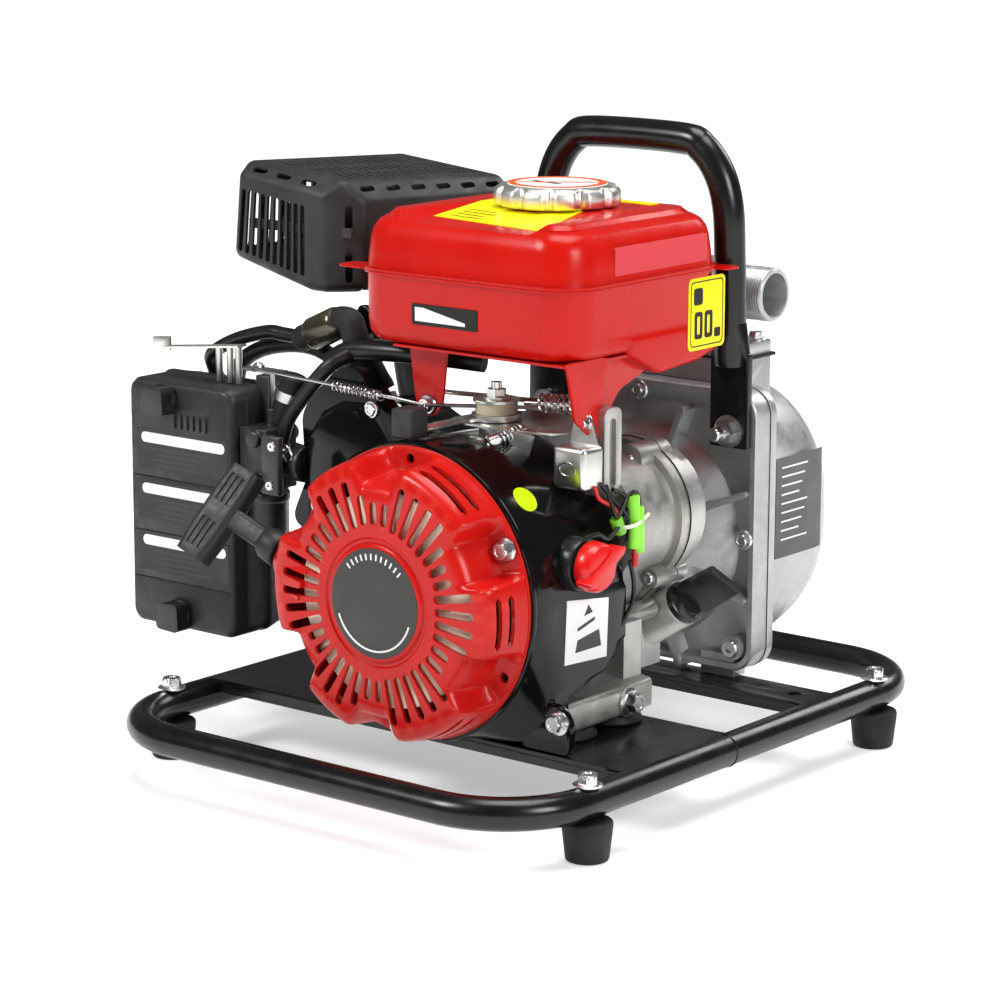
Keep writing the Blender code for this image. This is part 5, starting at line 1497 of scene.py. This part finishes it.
def build_ports():
    piece("discharge_neck", prism(rounded(2, 103.5, 80, 142, 5), "Z", 236, 243.5), "dome_cast",
          stands_for=("discharge_elbow",),
          joins=[turned([(22, 242), (20, 246), (19, 252), (19, 274)], UP, DISCHARGE),
                 turned([(14, 18), (19, 22), (20.4, 36), (19.4, 56), (19.4, 60), (17.4, 62),
                         (15.8, 64)] + thread(66.0, 91.0) + [(15.8, 91.4), (15.2, 92)], RIGHT,
                        OUTLET, 64)],
          cuts=[cylinder(PORT_BORE, 230, 274, UP, DISCHARGE),
                cylinder(13.2, 32, 100, RIGHT, OUTLET, 48)],
          bevel=0.25, segments=2, bevel_angle=60, sharp=30)
    bolts = [hex_bolt((x, y, 243.5), UP, 4.8, 6.4, 5.0, 6)
             for x, y in ((72, 111), (72, 134), (9, 111), (9, 134))]
    piece("elbow_bolts", merged(*bolts), "bolt_zinc")
    piece("suction_stub", lathe([(12.5, 205.3), (28, 205.3), (28.4, 206), (28, 211), (21, 213.5),
                                 (16.6, 216)] + thread(219.0, 241.0)
                                + [(16.0, 243), (12.5, 243)], REAR,
                                SUCTION), "dome_cast",
          stands_for=("suction_port",), sharp=30)


def build_plugs():
    wing = [prism(rounded(-34 - 12, 126 - 3, -34 + 12, 126 + 3, 2.5), "Z", 229, 240)]
    piece("priming_cap_knob", turned([(8, 212), (8, 226.3), (14, 226.3), (14.2, 229.5),
                                      (12, 231)], centre=PRIMING), "smooth_plastic",
          body="priming_cap", stands_for=("priming_plug",), joins=wing,
          bevel=0.8)
    piece("drain_plug_hex", turned([(5, -12), (5, 0.3), (9, 0.3), (9, 2), (7, 2.2, 6), (7, 8.4, 6),
                                    (6.2, 9)], REAR, (19, 203, 76), 36), "brass",
          body="drain_screw", stands_for=("drain_plug",))


def build_rating_plate():
    """A blank plate bent round the casing, with bars in place of words."""
    plate = []
    for y, x in ((116, 101.35), (130, 101.3), (145, 101.2), (160, 101.0), (168, 99.8)):
        plate.append((y, [(x - 1.0, 113), (x, 113), (x, 175), (x - 1.0, 175)]))
    piece("rating_plate", loft(plate, "Y"), "plate_grey")
    lines = [box((101.0, 122, 168.5 - 5.6 * k), (101.5, 150 - 3 * ((k * 5) % 4), 169.5 - 5.6 * k))
             for k in range(9)]
    piece("rating_plate_lines", merged(*lines), "white")


# ---------------------------------------------------------------- carrying handle

def build_handle():
    half, top = 69.0, 369.0
    left = [(-half, 236, 84.0), (-half, 262, 83.5), (-half + 1, 300, 83.0), (-half + 2.5, 330, 82.3),
            (-half + 9, 350, 82.0), (-half + 21, 364, 81.7), (-half + 36, top, 81.5)]
    right = [(-x, z, y) for x, z, y in reversed(left)]
    path = [(19 + x, y, z) for x, z, y in left + right]
    straps = []
    for way in (-1, 1):
        x = 19 + way * half
        strap = rounded(x - 13.5, 186, x + 13.5, 244, 2.0, 4)
        straps.append(prism(strap, "Y", 83.2, 87.6))
        shoulder = loft([(238.0, rounded(x - 13.4, 83.3, x + 13.4, 87.6, 2.0, 6)),
                         (250.0, rounded(x - 11.6, 79.5, x + 11.6, 90.5, 5.4, 6)),
                         (262.0, rounded(x - 9.6, 74.4, x + 9.6, 92.8, 9.1, 6))], "Z")
        straps.append(shoulder)
    piece("handle_tube", sweep(curve(path, 8), TUBE_R, 40), "frame_black",
          stands_for=("carry_handle",), joins=straps, sharp=40, bevel=0.5, segments=2,
          bevel_angle=50)


# ---------------------------------------------------------------- parts kept from the CAD

KEPT = {
    "air_filter": "foam", "camshaft": "steel", "crankshaft": "steel", "cylinder": "bare_cast",
    "cylinder_head": "bare_cast", "impeller": "grey_cast", "piston": "steel",
    "rocker_cover": "black_gloss", "spark_plug": "steel", "starter_rope": "cord",
}


def dress_kept_parts():
    for name, look in KEPT.items():
        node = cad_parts[name]
        node.data.materials.clear()
        node.data.materials.append(FINISH[look])


# ---------------------------------------------------------------- studio

def build_studio():
    floor = bpy.data.meshes.new("floor")
    bm = bmesh.new()
    bmesh.ops.create_grid(bm, x_segments=1, y_segments=1, size=20.0)
    bm.to_mesh(floor)
    bm.free()
    ground = bpy.data.objects.new("floor", floor)
    bpy.context.scene.collection.objects.link(ground)
    pale = finish_of("studio_floor", (0.80, 0.80, 0.80), 0.6, bump=0.0, grain=40, mottle=0.01)
    glow = pale.node_tree.nodes["Principled BSDF"].inputs
    glow["Emission Color"].default_value = (1.0, 1.0, 1.0, 1.0)
    tree = pale.node_tree
    where = tree.nodes.new("ShaderNodeNewGeometry")
    reach = tree.nodes.new("ShaderNodeVectorMath")
    reach.operation = "LENGTH"
    fade = tree.nodes.new("ShaderNodeMapRange")
    fade.interpolation_type = "SMOOTHSTEP"
    for name, value in (("From Min", 0.25), ("From Max", 2.0), ("To Min", 0.45), ("To Max", 0.9)):
        fade.inputs[name].default_value = value
    tree.links.new(where.outputs["Position"], reach.inputs[0])
    tree.links.new(reach.outputs["Value"], fade.inputs["Value"])
    tree.links.new(fade.outputs["Result"], glow["Emission Strength"])
    floor.materials.append(pale)
    world = bpy.data.worlds.new("studio")
    world.use_nodes = True
    backdrop = world.node_tree.nodes["Background"]
    backdrop.inputs["Color"].default_value = (1.0, 1.0, 1.0, 1.0)
    backdrop.inputs["Strength"].default_value = 0.12
    bpy.context.scene.world = world
    lamps = (("key", (-1.0, -2.0, 1.9), 0.8, 50.0), ("right", (2.1, -0.5, 1.2), 0.8, 28.0),
             ("top", (0.2, 0.1, 2.4), 1.4, 48.0), ("rim", (0.4, 2.4, 1.6), 1.0, 22.0))
    for name, spot, size, power in lamps:
        data = bpy.data.lights.new(name, "AREA")
        data.shape = "SQUARE"
        data.size = size
        data.energy = power
        lamp = bpy.data.objects.new(name, data)
        bpy.context.scene.collection.objects.link(lamp)
        lamp.location = spot
        lamp.rotation_mode = "QUATERNION"
        lamp.rotation_quaternion = (Vector((0, 0, 0.18)) - Vector(spot)).to_track_quat("-Z", "Y")
    bpy.context.scene.view_settings.view_transform = "Standard"


CAMERA_ANGLES = (38.781, 12.008, 0.21)             # azimuth, elevation and roll in degrees
CAMERA_SPOT = Vector((1189.903, -1506.226, 563.635))
LENS, SENSOR = 118.05, 36.0


def build_camera():
    azimuth, elevation, roll = (math.radians(a) for a in CAMERA_ANGLES)
    data = bpy.data.cameras.new("camera")
    data.sensor_width = SENSOR
    data.lens = LENS
    data.clip_start = 0.05
    data.clip_end = 100.0
    camera = bpy.data.objects.new("camera", data)
    bpy.context.scene.collection.objects.link(camera)
    back = Vector((math.sin(azimuth) * math.cos(elevation),
                   -math.cos(azimuth) * math.cos(elevation), math.sin(elevation)))
    right = (-back).cross(Vector(UP)).normalized()
    up = right.cross(-back)
    x_axis = right * math.cos(roll) + up * math.sin(roll)
    y_axis = up * math.cos(roll) - right * math.sin(roll)
    spot = (CAMERA_SPOT + ORIGIN) * MM
    pose = Matrix((x_axis, y_axis, back)).transposed().to_4x4()
    camera.matrix_world = Matrix.Translation(spot) @ pose
    bpy.context.scene.camera = camera


def main():
    for build in (build_frame, build_recoil, build_reel, build_grip, build_fan, build_housing,
                  build_crankcase, build_air_cleaner, build_carburettor, build_muffler,
                  build_ignition, build_throttle, build_governor, build_alert_box, build_switch,
                  build_wires, build_tank_shells, build_fuel_cap, build_tank_stay,
                  build_tank_labels, build_pump_plate, build_pump_casing, build_ports,
                  build_plugs, build_rating_plate, build_handle, dress_kept_parts, build_studio,
                  build_camera):
        build()
    patch("housing_sticker", "lime", 86.1, -112.5, -96.5, 38.0, 48.7, corner=7.9)


main()
